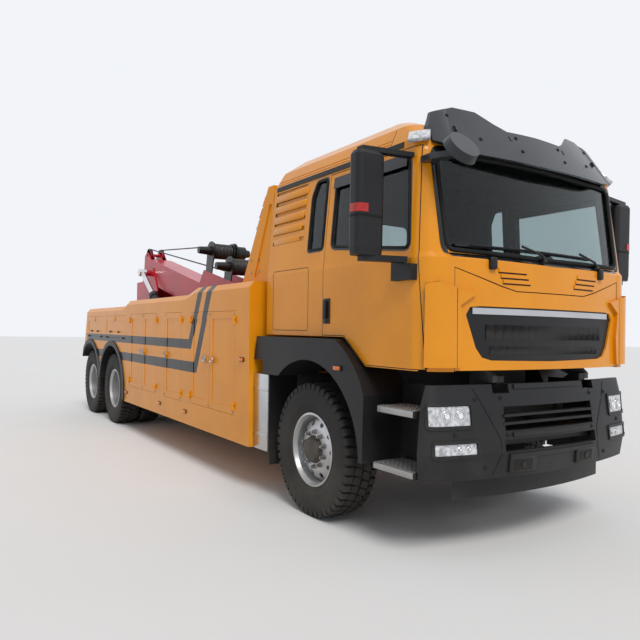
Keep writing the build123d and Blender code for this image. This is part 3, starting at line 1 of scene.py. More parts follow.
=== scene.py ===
"""Recovery truck dressed for display: paint, rubber, glass, tread, ropes and small fittings."""

from __future__ import annotations

import json
import logging
import math
from dataclasses import dataclass, field
from enum import Enum
from typing import Sequence

import bmesh
import bpy
from mathutils import Matrix, Vector
from mathutils.bvhtree import BVHTree

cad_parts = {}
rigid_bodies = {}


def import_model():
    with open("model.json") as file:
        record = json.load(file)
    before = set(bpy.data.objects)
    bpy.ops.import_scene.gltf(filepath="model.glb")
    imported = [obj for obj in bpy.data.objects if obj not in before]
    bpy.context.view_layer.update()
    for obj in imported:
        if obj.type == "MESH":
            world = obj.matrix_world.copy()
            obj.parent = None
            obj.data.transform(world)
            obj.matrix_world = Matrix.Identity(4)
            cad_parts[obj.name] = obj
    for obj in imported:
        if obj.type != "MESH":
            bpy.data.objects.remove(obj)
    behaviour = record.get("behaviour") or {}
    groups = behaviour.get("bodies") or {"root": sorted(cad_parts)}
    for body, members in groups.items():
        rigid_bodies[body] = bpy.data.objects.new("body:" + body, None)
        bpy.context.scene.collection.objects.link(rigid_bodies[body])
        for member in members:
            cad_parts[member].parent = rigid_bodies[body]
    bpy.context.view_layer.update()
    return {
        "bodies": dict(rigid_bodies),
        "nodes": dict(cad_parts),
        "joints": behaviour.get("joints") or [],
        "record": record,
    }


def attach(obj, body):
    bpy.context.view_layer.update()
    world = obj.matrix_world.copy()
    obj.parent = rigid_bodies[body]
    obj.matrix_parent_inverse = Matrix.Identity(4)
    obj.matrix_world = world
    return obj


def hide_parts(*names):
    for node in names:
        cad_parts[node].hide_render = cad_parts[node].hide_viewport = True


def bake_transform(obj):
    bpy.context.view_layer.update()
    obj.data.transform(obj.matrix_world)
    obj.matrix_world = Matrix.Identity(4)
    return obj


LOG = logging.getLogger("recovery_truck")

RGB = tuple[float, float, float]
Point = tuple[float, float, float]
Flat = tuple[float, float]
Box = tuple[float, float, float, float]

# metres; stations count ahead of the front axle
FRONT_AXLE_X = 3.4
HUB_Z = 0.5425
AXLE_STATIONS = {"front": 0.0, "middle": -5.75, "rear": -7.15}
FRONT_TYRE_Y = 1.005
TWIN_CENTRE_Y = 0.9
TWIN_SPACING = 0.34


def at(station: float) -> float:
    """The X in the shared frame of a station ahead of the front axle."""
    return FRONT_AXLE_X + station


class Side(Enum):
    """A side of the truck, with the sign of its Y."""

    LEFT = 1
    RIGHT = -1

    @property
    def word(self) -> str:
        """The side as it ends a node's name."""
        return self.name.lower()


class Slot(Enum):
    """The record's material slots."""

    CHASSIS = "chassis_black"
    BODY = "body_yellow"
    TRIM = "trim_black"
    VISOR = "visor_grey"
    LAMP = "lamp_lens"
    TYRE = "tyre_rubber"
    RIM = "rim_silver"
    GLASS = "window_glass"
    BOOM = "boom_crimson"
    WINCH = "winch_black"
    ROD = "rod_chrome"
    SEAT = "seat_fabric"
    DASH = "dash_plastic"


# Shader helpers


# a colour Mix node's two colour inputs
MIX_COLOURS = (6, 7)


class Board:
    """Adds nodes to one node tree and wires them together."""

    def __init__(self, tree: bpy.types.NodeTree) -> None:
        """Take the tree to work on.

        Args:
            tree: A material's or a group's node tree.
        """
        self.tree = tree

    def put(self, kind: str, **settings: object) -> bpy.types.Node:
        """Add a node.

        Args:
            kind: The node's type name without its ShaderNode prefix.
            **settings: Values of the node's own properties.

        Returns:
            The new node.
        """
        prefix = "" if kind.startswith("Node") else "ShaderNode"
        node = self.tree.nodes.new(prefix + kind)
        for key, value in settings.items():
            setattr(node, key, value)
        return node

    def wire(self, source: object, target: object) -> None:
        """Join an output socket to an input socket."""
        self.tree.links.new(source, target)

    def feed(self, node: bpy.types.Node, **values: object) -> bpy.types.Node:
        """Fill inputs by name: a socket is wired and anything else becomes the default.

        Args:
            node: The node whose inputs are filled.
            **values: Input name, with underscores for spaces, and its value or source socket.

        Returns:
            The same node.
        """
        for key, value in values.items():
            self.fill(node.inputs[key.replace("_", " ")], value)
        return node

    def fill(self, socket: bpy.types.NodeSocket, value: object) -> None:
        """Wire a socket if the value is one, and otherwise write the value on it."""
        if isinstance(value, bpy.types.NodeSocket):
            self.wire(value, socket)
        else:
            socket.default_value = value

    def call(self, group: bpy.types.NodeTree, **values: object) -> bpy.types.Node:
        """Add a shader group and fill its inputs.

        Args:
            group: The group's tree.
            **values: Input name and its value or source socket.

        Returns:
            The group's node.
        """
        node = self.put("Group")
        node.node_tree = group
        return self.feed(node, **values)

    def maths(self, operation: str, a: object, b: object = 0.0, clamp: bool = False) -> bpy.types.NodeSocket:
        """Add a Math node.

        Args:
            operation: The node's operation.
            a: First value or socket.
            b: Second value or socket.
            clamp: Whether the result is kept from 0 to 1.

        Returns:
            Its output socket.
        """
        node = self.put("Math", operation=operation, use_clamp=clamp)
        for index, value in enumerate((a, b)):
            self.fill(node.inputs[index], value)
        return node.outputs[0]

    def noise(self, where: bpy.types.NodeSocket, scale: object, detail: float = 4.0) -> bpy.types.NodeSocket:
        """Add a noise texture and return its factor.

        Args:
            where: Coordinates.
            scale: Scale value or socket.
            detail: Octaves.

        Returns:
            The factor socket.
        """
        node = self.put("TexNoise")
        self.feed(node, Vector=where, Scale=scale, Detail=detail)
        return node.outputs["Fac"]

    def ramp(self, value: bpy.types.NodeSocket, low: object, high: object) -> bpy.types.NodeSocket:
        """Spread a value between two limits to 0 to 1, with eased ends.

        Args:
            value: The value to spread.
            low: What becomes 0.
            high: What becomes 1.

        Returns:
            The spread value's socket.
        """
        node = self.put("MapRange", interpolation_type="SMOOTHSTEP")
        self.feed(node, Value=value, From_Min=low, From_Max=high)
        return node.outputs["Result"]

    def blend(self, factor: bpy.types.NodeSocket, a: object, b: object) -> bpy.types.NodeSocket:
        """Mix two colours.

        Args:
            factor: Share of the second colour.
            a: First colour or socket.
            b: Second colour or socket.

        Returns:
            The mixed colour's socket.
        """
        node = self.put("Mix", data_type="RGBA")
        self.wire(factor, node.inputs[0])
        for index, value in zip(MIX_COLOURS, (a, b)):
            self.fill(node.inputs[index], (*value, 1.0) if isinstance(value, tuple) else value)
        return node.outputs[2]


Group = tuple[bpy.types.NodeTree, Board, bpy.types.Node, bpy.types.Node]


def new_group(name: str, takes: dict[str, float | None], gives: dict[str, str]) -> Group:
    """Start a shader node group with named sockets.

    Args:
        name: The group's name.
        takes: Input name to its default value, where None makes a vector.
        gives: Output name to its socket type.

    Returns:
        The tree, a board on it, the input node and the output node.
    """
    tree = bpy.data.node_groups.new(name, "ShaderNodeTree")
    for key, value in takes.items():
        kind = "NodeSocketFloat" if isinstance(value, float) else "NodeSocketVector"
        socket = tree.interface.new_socket(name=key, in_out="INPUT", socket_type=kind)
        if isinstance(value, float):
            socket.default_value = value
    for key, kind in gives.items():
        tree.interface.new_socket(name=key, in_out="OUTPUT", socket_type=kind)
    board = Board(tree)
    return tree, board, board.put("NodeGroupInput"), board.put("NodeGroupOutput")


class Effects:
    """The shader node groups that several finishes share."""

    def __init__(self) -> None:
        """Build every group once."""
        self.dust = self._dust()
        self.grain = self._grain()
        self.stripes = self._stripes()
        self.scuff = self._scuff()
        self.zone = self._zone()

    def _dust(self) -> bpy.types.NodeTree:
        """Road dust that thickens towards the ground, broken up by noise.

        Returns:
            The group's tree.
        """
        tree, board, takes, gives = new_group(
            "road_dust",
            {"Coordinates": None, "Low": 0.2, "High": 1.3, "Amount": 0.4, "Scale": 3.0},
            {"Mask": "NodeSocketFloat"},
        )
        split = board.put("SeparateXYZ")
        board.wire(takes.outputs["Coordinates"], split.inputs[0])
        height = board.ramp(split.outputs["Z"], takes.outputs["High"], takes.outputs["Low"])
        cloud = board.noise(takes.outputs["Coordinates"], takes.outputs["Scale"], 6.0)
        patch = board.ramp(cloud, 0.35, 0.7)
        mask = board.maths("MULTIPLY", height, board.maths("ADD", board.maths("MULTIPLY", patch, 0.7), 0.3))
        board.wire(board.maths("MULTIPLY", mask, takes.outputs["Amount"], clamp=True), gives.inputs["Mask"])
        return tree

    def _grain(self) -> bpy.types.NodeTree:
        """Fine surface grain over a slow waviness.

        Returns:
            The group's tree.
        """
        tree, board, takes, gives = new_group(
            "surface_grain",
            {"Coordinates": None, "Fine": 400.0, "Broad": 8.0, "Waviness": 0.5},
            {"Height": "NodeSocketFloat"},
        )
        fine = board.noise(takes.outputs["Coordinates"], takes.outputs["Fine"], 3.0)
        broad = board.noise(takes.outputs["Coordinates"], takes.outputs["Broad"], 2.0)
        wave = board.maths("MULTIPLY", broad, takes.outputs["Waviness"])
        board.wire(board.maths("ADD", fine, wave), gives.inputs["Height"])
        return tree

    def _scuff(self) -> bpy.types.NodeTree:
        """Sparse long scratches and worn patches.

        Returns:
            The group's tree.
        """
        tree, board, takes, gives = new_group(
            "scuff_marks",
            {"Coordinates": None, "Scale": 6.0, "Amount": 0.3},
            {"Mask": "NodeSocketFloat"},
        )
        stretch = board.put("Mapping")
        board.wire(takes.outputs["Coordinates"], stretch.inputs["Vector"])
        stretch.inputs["Scale"].default_value = (1.0, 6.0, 9.0)
        lines = board.ramp(board.noise(stretch.outputs["Vector"], takes.outputs["Scale"], 8.0), 0.6, 0.72)
        patch = board.ramp(board.noise(takes.outputs["Coordinates"], takes.outputs["Scale"], 3.0), 0.45, 0.75)
        mask = board.maths("MULTIPLY", lines, patch)
        board.wire(board.maths("MULTIPLY", mask, takes.outputs["Amount"], clamp=True), gives.inputs["Mask"])
        return tree

    def _zone(self) -> bpy.types.NodeTree:
        """A box that is the same on both of the truck's sides.

        Returns:
            The group's tree.
        """
        tree, board, takes, gives = new_group(
            "painted_zone", {"Coordinates": None, "Low": None, "High": None}, {"Mask": "NodeSocketFloat"}
        )
        parts = {}
        for key in ("Coordinates", "Low", "High"):
            parts[key] = board.put("SeparateXYZ")
            board.wire(takes.outputs[key], parts[key].inputs[0])
        mask = None
        for axis in "XYZ":
            value = parts["Coordinates"].outputs[axis]
            if axis == "Y":
                value = board.maths("ABSOLUTE", value)
            above = board.maths("GREATER_THAN", value, parts["Low"].outputs[axis])
            below = board.maths("LESS_THAN", value, parts["High"].outputs[axis])
            inside = board.maths("MULTIPLY", above, below)
            mask = inside if mask is None else board.maths("MULTIPLY", mask, inside)
        board.wire(mask, gives.inputs["Mask"])
        return tree

    def _stripes(self) -> bpy.types.NodeTree:
        """The two black bands along the body that turn up to its top edge.

        Returns:
            The group's tree.
        """
        tree, board, takes, gives = new_group(
            "body_stripes", {"Coordinates": None}, {"Mask": "NodeSocketFloat"}
        )
        split = board.put("SeparateXYZ")
        board.wire(takes.outputs["Coordinates"], split.inputs[0])
        x, y, z = split.outputs["X"], split.outputs["Y"], split.outputs["Z"]
        bands = []
        for band in STRIPE_BANDS:
            right = band.edge(board, z, band.corner_right, band.top_right)
            left = band.edge(board, z, band.corner_left, band.top_left)
            inside_right = board.maths("LESS_THAN", x, right)
            outside_left = board.maths("GREATER_THAN", x, left)
            above = board.maths("GREATER_THAN", z, band.low)
            flat = board.maths("LESS_THAN", z, band.high)
            shape = board.maths("MAXIMUM", flat, outside_left)
            mask = board.maths("MULTIPLY", board.maths("MULTIPLY", inside_right, above), shape)
            start = board.maths("GREATER_THAN", x, at(band.rear))
            bands.append(board.maths("MULTIPLY", mask, start))
        both = board.maths("MAXIMUM", *bands)
        outer = board.maths("GREATER_THAN", board.maths("ABSOLUTE", y), STRIPE_INNER_Y)
        board.wire(board.maths("MULTIPLY", both, outer), gives.inputs["Mask"])
        return tree


@dataclass(frozen=True)
class StripeBand:
    """One black band: level along the body, then slanting up to the top edge.

    Corners and tops are (station, height) in metres.
    """

    low: float
    high: float
    rear: float
    corner_right: Flat
    top_right: Flat
    corner_left: Flat
    top_left: Flat

    def edge(self, board: Board, z: bpy.types.NodeSocket, foot: Flat, head: Flat) -> bpy.types.NodeSocket:
        """X of a slanting edge at each height.

        Args:
            board: Where the nodes go.
            z: Height socket.
            foot: Lower end, as (station, height).
            head: Upper end, as (station, height).

        Returns:
            Socket with the edge's X.
        """
        slope = (head[0] - foot[0]) / (head[1] - foot[1])
        run = board.maths("MULTIPLY", z, slope)
        return board.maths("ADD", run, at(foot[0]) - slope * foot[1])


STRIPE_BANDS = (
    StripeBand(1.28, 1.39, -7.43, (-2.389, 1.282), (-2.069, 1.92), (-2.46, 1.39), (-2.2, 1.92)),
    StripeBand(1.02, 1.14, -7.43, (-2.227, 1.029), (-1.812, 1.92), (-2.3, 1.144), (-1.951, 1.92)),
)
STRIPE_INNER_Y = 1.195


@dataclass(frozen=True)
class Zone:
    """A box of another colour on a finish, given by its corners with Y taken on both sides."""

    low: Point
    high: Point
    colour: RGB


@dataclass(frozen=True)
class Finish:
    """How one surface looks, and the record's slot that it takes.

    Colours are linear. Grain and waviness are bump heights in metres.
    """

    name: str
    slot: Slot
    base: RGB
    shade: RGB
    roughness: float
    metallic: float = 0.0
    coat: float = 0.0
    swing: float = 0.08
    mottle: float = 2.5
    dust: RGB = (0.35, 0.3, 0.24)
    dust_amount: float = 0.25
    dust_low: float = 0.25
    dust_high: float = 1.1
    scuff: float = 0.0
    scuff_colour: RGB = (0.3, 0.3, 0.3)
    fine: float = 300.0
    broad: float = 5.0
    waviness: float = 0.5
    bump: float = 0.0004
    striped: bool = False
    clear: bool = False
    spec: float = 0.3
    zones: tuple[Zone, ...] = ()

    def make(self, effects: Effects) -> bpy.types.Material:
        """Build the material.

        Args:
            effects: The shared shader groups.

        Returns:
            The finished material.
        """
        material = bpy.data.materials.new(self.name)
        material.use_nodes = True
        tree = material.node_tree
        tree.nodes.clear()
        board = Board(tree)
        where = board.put("TexCoord").outputs["Object"]
        shader = board.put("BsdfPrincipled")
        end = board.put("OutputMaterial")
        board.wire(shader.outputs[0], end.inputs["Surface"])
        tone = board.ramp(board.noise(where, self.mottle, 5.0), 0.3, 0.7)
        colour = board.blend(tone, self.base, self.shade)
        if self.striped:
            stripes = board.call(effects.stripes, Coordinates=where)
            colour = board.blend(stripes.outputs["Mask"], colour, STRIPE_BLACK)
        for zone in self.zones:
            inside = board.call(effects.zone, Coordinates=where, Low=zone.low, High=zone.high)
            colour = board.blend(inside.outputs["Mask"], colour, zone.colour)
        if self.scuff:
            worn = board.call(effects.scuff, Coordinates=where, Amount=self.scuff)
            colour = board.blend(worn.outputs["Mask"], colour, self.scuff_colour)
        dusty = board.call(
            effects.dust, Coordinates=where, Low=self.dust_low, High=self.dust_high, Amount=self.dust_amount
        )
        colour = board.blend(dusty.outputs["Mask"], colour, self.dust)
        board.wire(colour, shader.inputs["Base Color"])
        rough = board.noise(where, self.mottle * 4.0, 6.0)
        rough = board.maths("MULTIPLY", rough, self.swing)
        rough = board.maths("ADD", rough, self.roughness - self.swing / 2)
        dull = board.maths("MULTIPLY", dusty.outputs["Mask"], DUST_ROUGHNESS)
        rough = board.maths("ADD", rough, dull, clamp=True)
        board.wire(rough, shader.inputs["Roughness"])
        grain = board.call(
            effects.grain, Coordinates=where, Fine=self.fine, Broad=self.broad, Waviness=self.waviness
        )
        bump = board.put("Bump")
        board.feed(bump, Strength=0.6, Distance=self.bump, Height=grain.outputs["Height"])
        board.wire(bump.outputs["Normal"], shader.inputs["Normal"])
        shader.inputs["Metallic"].default_value = self.metallic
        shader.inputs["Coat Weight"].default_value = self.coat
        shader.inputs["Coat Roughness"].default_value = COAT_ROUGHNESS
        shader.inputs["Specular IOR Level"].default_value = self.spec
        if self.clear:
            shader.inputs["Transmission Weight"].default_value = 1.0
            shader.inputs["IOR"].default_value = GLASS_IOR
        return material


DUST_ROUGHNESS = 0.35
COAT_ROUGHNESS = 0.06
GLASS_IOR = 1.3
STRIPE_BLACK = (0.012, 0.012, 0.013)
AMBER_YELLOW = (0.76, 0.285, 0.006)
DEEP_YELLOW = (0.71, 0.26, 0.005)
LENS_AMBER = (0.8, 0.2, 0.006)
LENS_RED = (0.45, 0.01, 0.008)

FINISHES = {
    "yellow": Finish(
        "amber_yellow_paint", Slot.BODY, AMBER_YELLOW, DEEP_YELLOW, 0.32, coat=0.15, swing=0.06,
        dust=(0.45, 0.26, 0.08), dust_amount=0.3, fine=900.0, bump=0.00006, waviness=2.0, broad=3.0,
        striped=True,
    ),
    "plain_yellow": Finish(
        "amber_yellow_cab_paint", Slot.BODY, AMBER_YELLOW, DEEP_YELLOW, 0.28, coat=0.2, swing=0.06,
        dust=(0.45, 0.26, 0.08), dust_amount=0.22, fine=900.0, bump=0.00005, waviness=2.0,
        broad=3.0,
        zones=(Zone((at(1.1), 0.4, 1.1), (at(1.4), 0.65, 1.262), (0.02, 0.02, 0.02)),),
    ),
    "deck": Finish(
        "deck_and_pylon_paint", Slot.BODY, (0.02, 0.02, 0.02), (0.03, 0.029, 0.028), 0.42,
        dust_amount=0.3, dust_high=1.5, fine=400.0, bump=0.0002,
        zones=(
            Zone((at(-1.6), 0.9, 1.9), (at(-0.8), 1.2, 3.0), AMBER_YELLOW),
            Zone((at(-0.96), 0.0, 1.0), (at(-0.8), 0.7, 2.1), AMBER_YELLOW),
        ),
    ),
    "chassis": Finish(
        "chassis_black_paint", Slot.CHASSIS, (0.009, 0.009, 0.01), (0.016, 0.0155, 0.015), 0.5,
        dust_amount=0.3, dust_high=1.2, scuff=0.3, scuff_colour=(0.05, 0.046, 0.042), fine=180.0,
        bump=0.0006,
    ),
    "trim": Finish(
        "moulded_black_plastic", Slot.TRIM, (0.0075, 0.008, 0.0095), (0.012, 0.0125, 0.014), 0.42,
        dust_amount=0.16, dust_high=1.3, dust=(0.16, 0.14, 0.115), fine=700.0, bump=0.0003,
        waviness=0.1,
    ),
    "gloss_black": Finish(
        "gloss_black_plastic", Slot.TRIM, (0.006, 0.006, 0.007), (0.009, 0.009, 0.01), 0.16,
        coat=0.3, dust_amount=0.08, fine=900.0, bump=0.00006,
    ),
    "visor": Finish(
        "smoked_visor_plastic", Slot.VISOR, (0.02, 0.022, 0.027), (0.03, 0.032, 0.037), 0.3,
        coat=0.2, dust_amount=0.12, fine=800.0, bump=0.00008,
    ),
    "rubber": Finish(
        "tyre_tread_rubber", Slot.TYRE, (0.011, 0.011, 0.0115), (0.02, 0.019, 0.018), 0.7,
        swing=0.15, dust=(0.13, 0.115, 0.095), dust_amount=0.42, dust_low=0.0, dust_high=1.25,
        fine=260.0, bump=0.0008,
    ),
    # rubber seals, dark seams and screw heads; the same near-black also stands for painted shade behind the
    # grille, under the cowl louvres and in the tow covers' recesses
    "seal": Finish(
        "window_seal_rubber", Slot.TRIM, (0.006, 0.006, 0.0065), (0.01, 0.01, 0.01), 0.6,
        dust_amount=0.1, fine=500.0, bump=0.0003, spec=0.2,
    ),
    "rim": Finish(
        "wheel_silver_paint", Slot.RIM, (0.6, 0.61, 0.62), (0.44, 0.45, 0.46), 0.34, metallic=0.75,
        swing=0.12, dust=(0.26, 0.23, 0.19), dust_amount=0.4, dust_low=0.1, dust_high=1.3,
        fine=400.0, bump=0.00015,
    ),
    "steel": Finish(
        "stainless_sheet", Slot.RIM, (0.58, 0.59, 0.6), (0.5, 0.51, 0.52), 0.24, metallic=1.0,
        swing=0.14, scuff=0.4, scuff_colour=(0.36, 0.36, 0.36), fine=260.0, bump=0.0002,
        dust_amount=0.2,
    ),
    "tread_plate": Finish(
        "aluminium_tread_plate", Slot.RIM, (0.5, 0.5, 0.49), (0.36, 0.355, 0.35), 0.42,
        metallic=0.8, swing=0.16, scuff=0.5, scuff_colour=(0.2, 0.2, 0.2), fine=420.0, bump=0.0004,
        dust_amount=0.3,
    ),
    "nut": Finish(
        "wheel_nut_steel", Slot.RIM, (0.4, 0.4, 0.4), (0.26, 0.25, 0.24), 0.3, metallic=1.0,
        fine=600.0, bump=0.0002,
    ),
    "chrome": Finish(
        "bright_chrome", Slot.ROD, (0.8, 0.81, 0.82), (0.66, 0.67, 0.69), 0.08, metallic=1.0,
        swing=0.05, dust_amount=0.1, fine=900.0, bump=0.00003,
    ),
    "crimson": Finish(
        "boom_crimson_paint", Slot.BOOM, (0.5, 0.006, 0.022), (0.42, 0.005, 0.018), 0.3, coat=0.2,
        dust_amount=0.12, scuff=0.25, scuff_colour=(0.12, 0.008, 0.01), fine=800.0, bump=0.00008,
        waviness=1.5,
    ),
    "winch": Finish(
        "winch_black_enamel", Slot.WINCH, (0.008, 0.008, 0.009), (0.014, 0.014, 0.014), 0.34,
        coat=0.15, dust_amount=0.12, fine=300.0, bump=0.0003,
    ),
    "rope": Finish(
        "steel_wire_rope", Slot.WINCH, (0.09, 0.088, 0.085), (0.04, 0.038, 0.036), 0.42,
        metallic=0.8, mottle=60.0, dust_amount=0.1, fine=900.0, bump=0.0006,
    ),
    "glass": Finish(
        "window_glass_sheet", Slot.GLASS, (0.5, 0.58, 0.58), (0.52, 0.6, 0.6), 0.02, swing=0.01,
        dust_amount=0.03, dust=(0.8, 0.8, 0.78), fine=50.0, bump=0.00001, clear=True, spec=0.5,
    ),
    # the clear lens's bright and dark mottle is painted reflection of the lamp's optics; the amber and red
    # zones are the lenses' own colours
    "lens": Finish(
        "clear_lamp_lens", Slot.LAMP, (0.78, 0.79, 0.8), (0.34, 0.35, 0.37), 0.1, swing=0.06,
        metallic=0.4, coat=0.8, mottle=38.0, dust_amount=0.12, fine=120.0, bump=0.0012,
        waviness=0.2,
        zones=(
            Zone((at(-1.3), 0.9, 2.697), (at(-0.9), 1.2, 2.85), LENS_AMBER),
            Zone((at(-1.3), 0.9, 2.592), (at(-0.9), 1.2, 2.697), LENS_RED),
            Zone((at(-7.8), 0.88, 1.3), (at(-7.3), 1.2, 1.7), LENS_RED),
            Zone((at(-7.8), 0.8, 1.3), (at(-7.3), 0.88, 1.7), LENS_AMBER),
        ),
    ),
    "bulb": Finish(
        "lamp_bulb_glass", Slot.LAMP, (0.9, 0.9, 0.88), (0.82, 0.83, 0.84), 0.06, coat=0.6,
        dust_amount=0.0, fine=200.0, bump=0.0001,
    ),
    "amber": Finish(
        "amber_lens", Slot.LAMP, LENS_AMBER, (0.66, 0.13, 0.005), 0.15, coat=0.5, mottle=60.0,
        dust_amount=0.06, fine=160.0, bump=0.0008,
    ),
    "red": Finish(
        "red_lens", Slot.LAMP, LENS_RED, (0.32, 0.008, 0.006), 0.15, coat=0.5, mottle=60.0,
        dust_amount=0.06, fine=160.0, bump=0.0008,
    ),
    "cloth": Finish(
        "seat_weave", Slot.SEAT, (0.03, 0.03, 0.034), (0.048, 0.048, 0.052), 0.85, mottle=40.0,
        dust_amount=0.0, fine=1400.0, bump=0.0012,
    ),
    "dash": Finish(
        "dashboard_grain", Slot.DASH, (0.018, 0.018, 0.019), (0.026, 0.026, 0.028), 0.62,
        dust_amount=0.05, dust_high=2.5, fine=900.0, bump=0.0005,
    ),
    "mirror": Finish(
        "mirror_face", Slot.ROD, (0.75, 0.78, 0.8), (0.7, 0.73, 0.76), 0.03, metallic=1.0,
        swing=0.01, dust_amount=0.03, fine=60.0, bump=0.00001,
    ),
    "cab_lining": Finish(
        "cab_lining_felt", Slot.DASH, (0.05, 0.05, 0.053), (0.07, 0.069, 0.07), 0.8, mottle=18.0,
        dust_amount=0.04, fine=1100.0, bump=0.0006, spec=0.15,
    ),
}


class Palette:
    """Makes each finish's material the first time that it is asked for."""

    def __init__(self) -> None:
        """Build the shared effects and an empty store."""
        self.effects = Effects()
        self.made: dict[str, bpy.types.Material] = {}

    def get(self, key: str) -> bpy.types.Material:
        """The material of a finish.

        Args:
            key: The finish's key in FINISHES.

        Returns:
            Its material.
        """
        if key not in self.made:
            self.made[key] = FINISHES[key].make(self.effects)
        return self.made[key]


# Shaping helpers

# a point on a surface and the way out of it
Laid = tuple[Vector, Vector]


def edges_of(verts: Sequence[bmesh.types.BMVert]) -> list[bmesh.types.BMEdge]:
    """Every edge that meets some vertices, each one once.

    Args:
        verts: The vertices.

    Returns:
        Their edges.
    """
    return list({edge for vert in verts for edge in vert.link_edges})


def neighbours(points: Sequence[Vector], index: int, closed: bool) -> tuple[Vector, Vector]:
    """The points before and after one on a path; an open path's ends are their own neighbours.

    Args:
        points: The path.
        index: Which point.
        closed: Whether the path's end meets its start.

    Returns:
        The point behind and the point ahead.
    """
    if closed:
        return points[index - 1], points[(index + 1) % len(points)]
    return points[max(index - 1, 0)], points[min(index + 1, len(points) - 1)]


class Workpiece:
    """One display piece while it is being shaped from operators."""

    def __init__(self, name: str) -> None:
        """Start with an empty mesh.

        Args:
            name: The piece's name.
        """
        self.name = name
        self.bm = bmesh.new()

    def block(
        self, size: Point, centre: Point, turn: Matrix | None = None, bevel: float = 0.0
    ) -> list[bmesh.types.BMVert]:
        """Add a box, its edges eased if asked.

        Args:
            size: Whole lengths along X, Y and Z before the turn.
            centre: Where its middle goes.
            turn: Rotation about its middle.
            bevel: Width of the eased edges.

        Returns:
            Its vertices.
        """
        place = Matrix.Translation(centre) @ (turn.to_4x4() if turn else Matrix.Identity(4))
        made = bmesh.ops.create_cube(self.bm, size=1.0, matrix=place @ Matrix.Diagonal((*size, 1.0)))
        verts = made["verts"]
        if bevel:
            verts = bmesh.ops.bevel(
                self.bm, geom=edges_of(verts), offset=bevel, affect="EDGES", segments=2, profile=0.5,
                material=-1,
            )["verts"]
        return verts

    def rod(
        self, start: Point, end: Point, radius: float, sides: int = 20, end_radius: float | None = None
    ) -> None:
        """Add a round bar or a cone between two points.

        Args:
            start: Centre of one end.
            end: Centre of the other end.
            radius: Radius at the start.
            sides: Facets around.
            end_radius: Radius at the end, the same as the start's if left out.
        """
        a, b = Vector(start), Vector(end)
        run = b - a
        place = Matrix.Translation((a + b) / 2) @ run.to_track_quat("Z", "Y").to_matrix().to_4x4()
        bmesh.ops.create_cone(
            self.bm, cap_ends=True, segments=sides, radius1=radius,
            radius2=radius if end_radius is None else end_radius, depth=run.length, matrix=place,
        )

    def slab(self, outline: Sequence[Point], push: Point) -> None:
        """Add a flat outline pushed into a solid.

        Args:
            outline: Corners of the flat outline in order.
            push: The way and distance that it is pushed.
        """
        face = self.bm.faces.new([self.bm.verts.new(corner) for corner in outline])
        grown = bmesh.ops.extrude_face_region(self.bm, geom=[face])["geom"]
        top = [item for item in grown if isinstance(item, bmesh.types.BMVert)]
        bmesh.ops.translate(self.bm, verts=top, vec=push)

    def turned(
        self, section: Sequence[Flat], centre: Point, axis: Point = (0.0, 1.0, 0.0), steps: int = 48
    ) -> None:
        """Spin a closed section, given as (along, radius), about an axis.

        Args:
            section: Corners of the section in order.
            centre: A point on the axis.
            axis: The axis' direction.
            steps: Facets around.
        """
        way = Vector(axis).normalized()
        out = way.orthogonal().normalized()
        middle = Vector(centre)
        ring = [self.bm.verts.new(middle + way * along + out * radius) for along, radius in section]
        edges = [self.bm.edges.new((ring[i], ring[(i + 1) % len(ring)])) for i in range(len(ring))]
        bmesh.ops.spin(
            self.bm, geom=ring + edges, cent=middle, axis=way, dvec=(0, 0, 0), angle=2 * math.pi, steps=steps,
            use_merge=True, use_duplicate=False,
        )

    def tube(self, path: Sequence[Point], radius: float, sides: int = 10, closed: bool = False) -> None:
        """Add a round tube along a path with mitred corners.

        Args:
            path: Points that it follows.
            radius: The tube's radius.
            sides: Facets around.
            closed: Whether its end meets its start.
        """
        points = [Vector(point) for point in path]
        rings = []
        turn = None
        for index, point in enumerate(points):
            behind, ahead = neighbours(points, index, closed)
            way = ((ahead - point).normalized() + (point - behind).normalized()).normalized()
            if turn is None:
                turn = way.to_track_quat("Z", "Y")
            else:
                turn = (turn @ Vector((0, 0, 1))).rotation_difference(way) @ turn
            place = Matrix.Translation(point) @ turn.to_matrix().to_4x4()
            ring = bmesh.ops.create_circle(self.bm, segments=sides, radius=radius, matrix=place)["verts"]
            rings.append(edges_of(ring))
        self.bridge(rings, closed)

    def bridge(self, rings: list[list[bmesh.types.BMEdge]], closed: bool) -> None:
        """Join a row of rings into one skin.

        Args:
            rings: The edges of each ring in order.
            closed: Whether the last one joins the first; the two ends are capped if not.
        """
        pairs = list(zip(rings, rings[1:]))
        if closed:
            pairs.append((rings[-1], rings[0]))
        for near, far in pairs:
            bmesh.ops.bridge_loops(self.bm, edges=near + far)
        if not closed:
            for loop in (rings[0], rings[-1]):
                bmesh.ops.holes_fill(self.bm, edges=loop)

    def ribbon(
        self, laid: Sequence[Laid], width: float, thickness: float, closed: bool = False, lift: float = 0.0
    ) -> None:
        """Add a flat strip that lies on a surface.

        Args:
            laid: Points on the surface, each with the way out of it.
            width: Width across the path.
            thickness: Thickness along the way out.
            closed: Whether its end meets its start.
            lift: How far its middle stands off the surface.
        """
        rings = []
        for index, (point, out) in enumerate(laid):
            behind, ahead = neighbours([spot for spot, _ in laid], index, closed)
            way = (ahead - behind).normalized()
            across = way.cross(out).normalized()
            up = across.cross(way)
            basis = Matrix((across * width, up * thickness, way)).transposed().to_4x4()
            place = Matrix.Translation(point + out * lift) @ basis @ Matrix.Rotation(math.radians(45), 4, "Z")
            ring = bmesh.ops.create_circle(self.bm, segments=4, radius=math.sqrt(0.5), matrix=place)["verts"]
            rings.append(edges_of(ring))
        self.bridge(rings, closed)

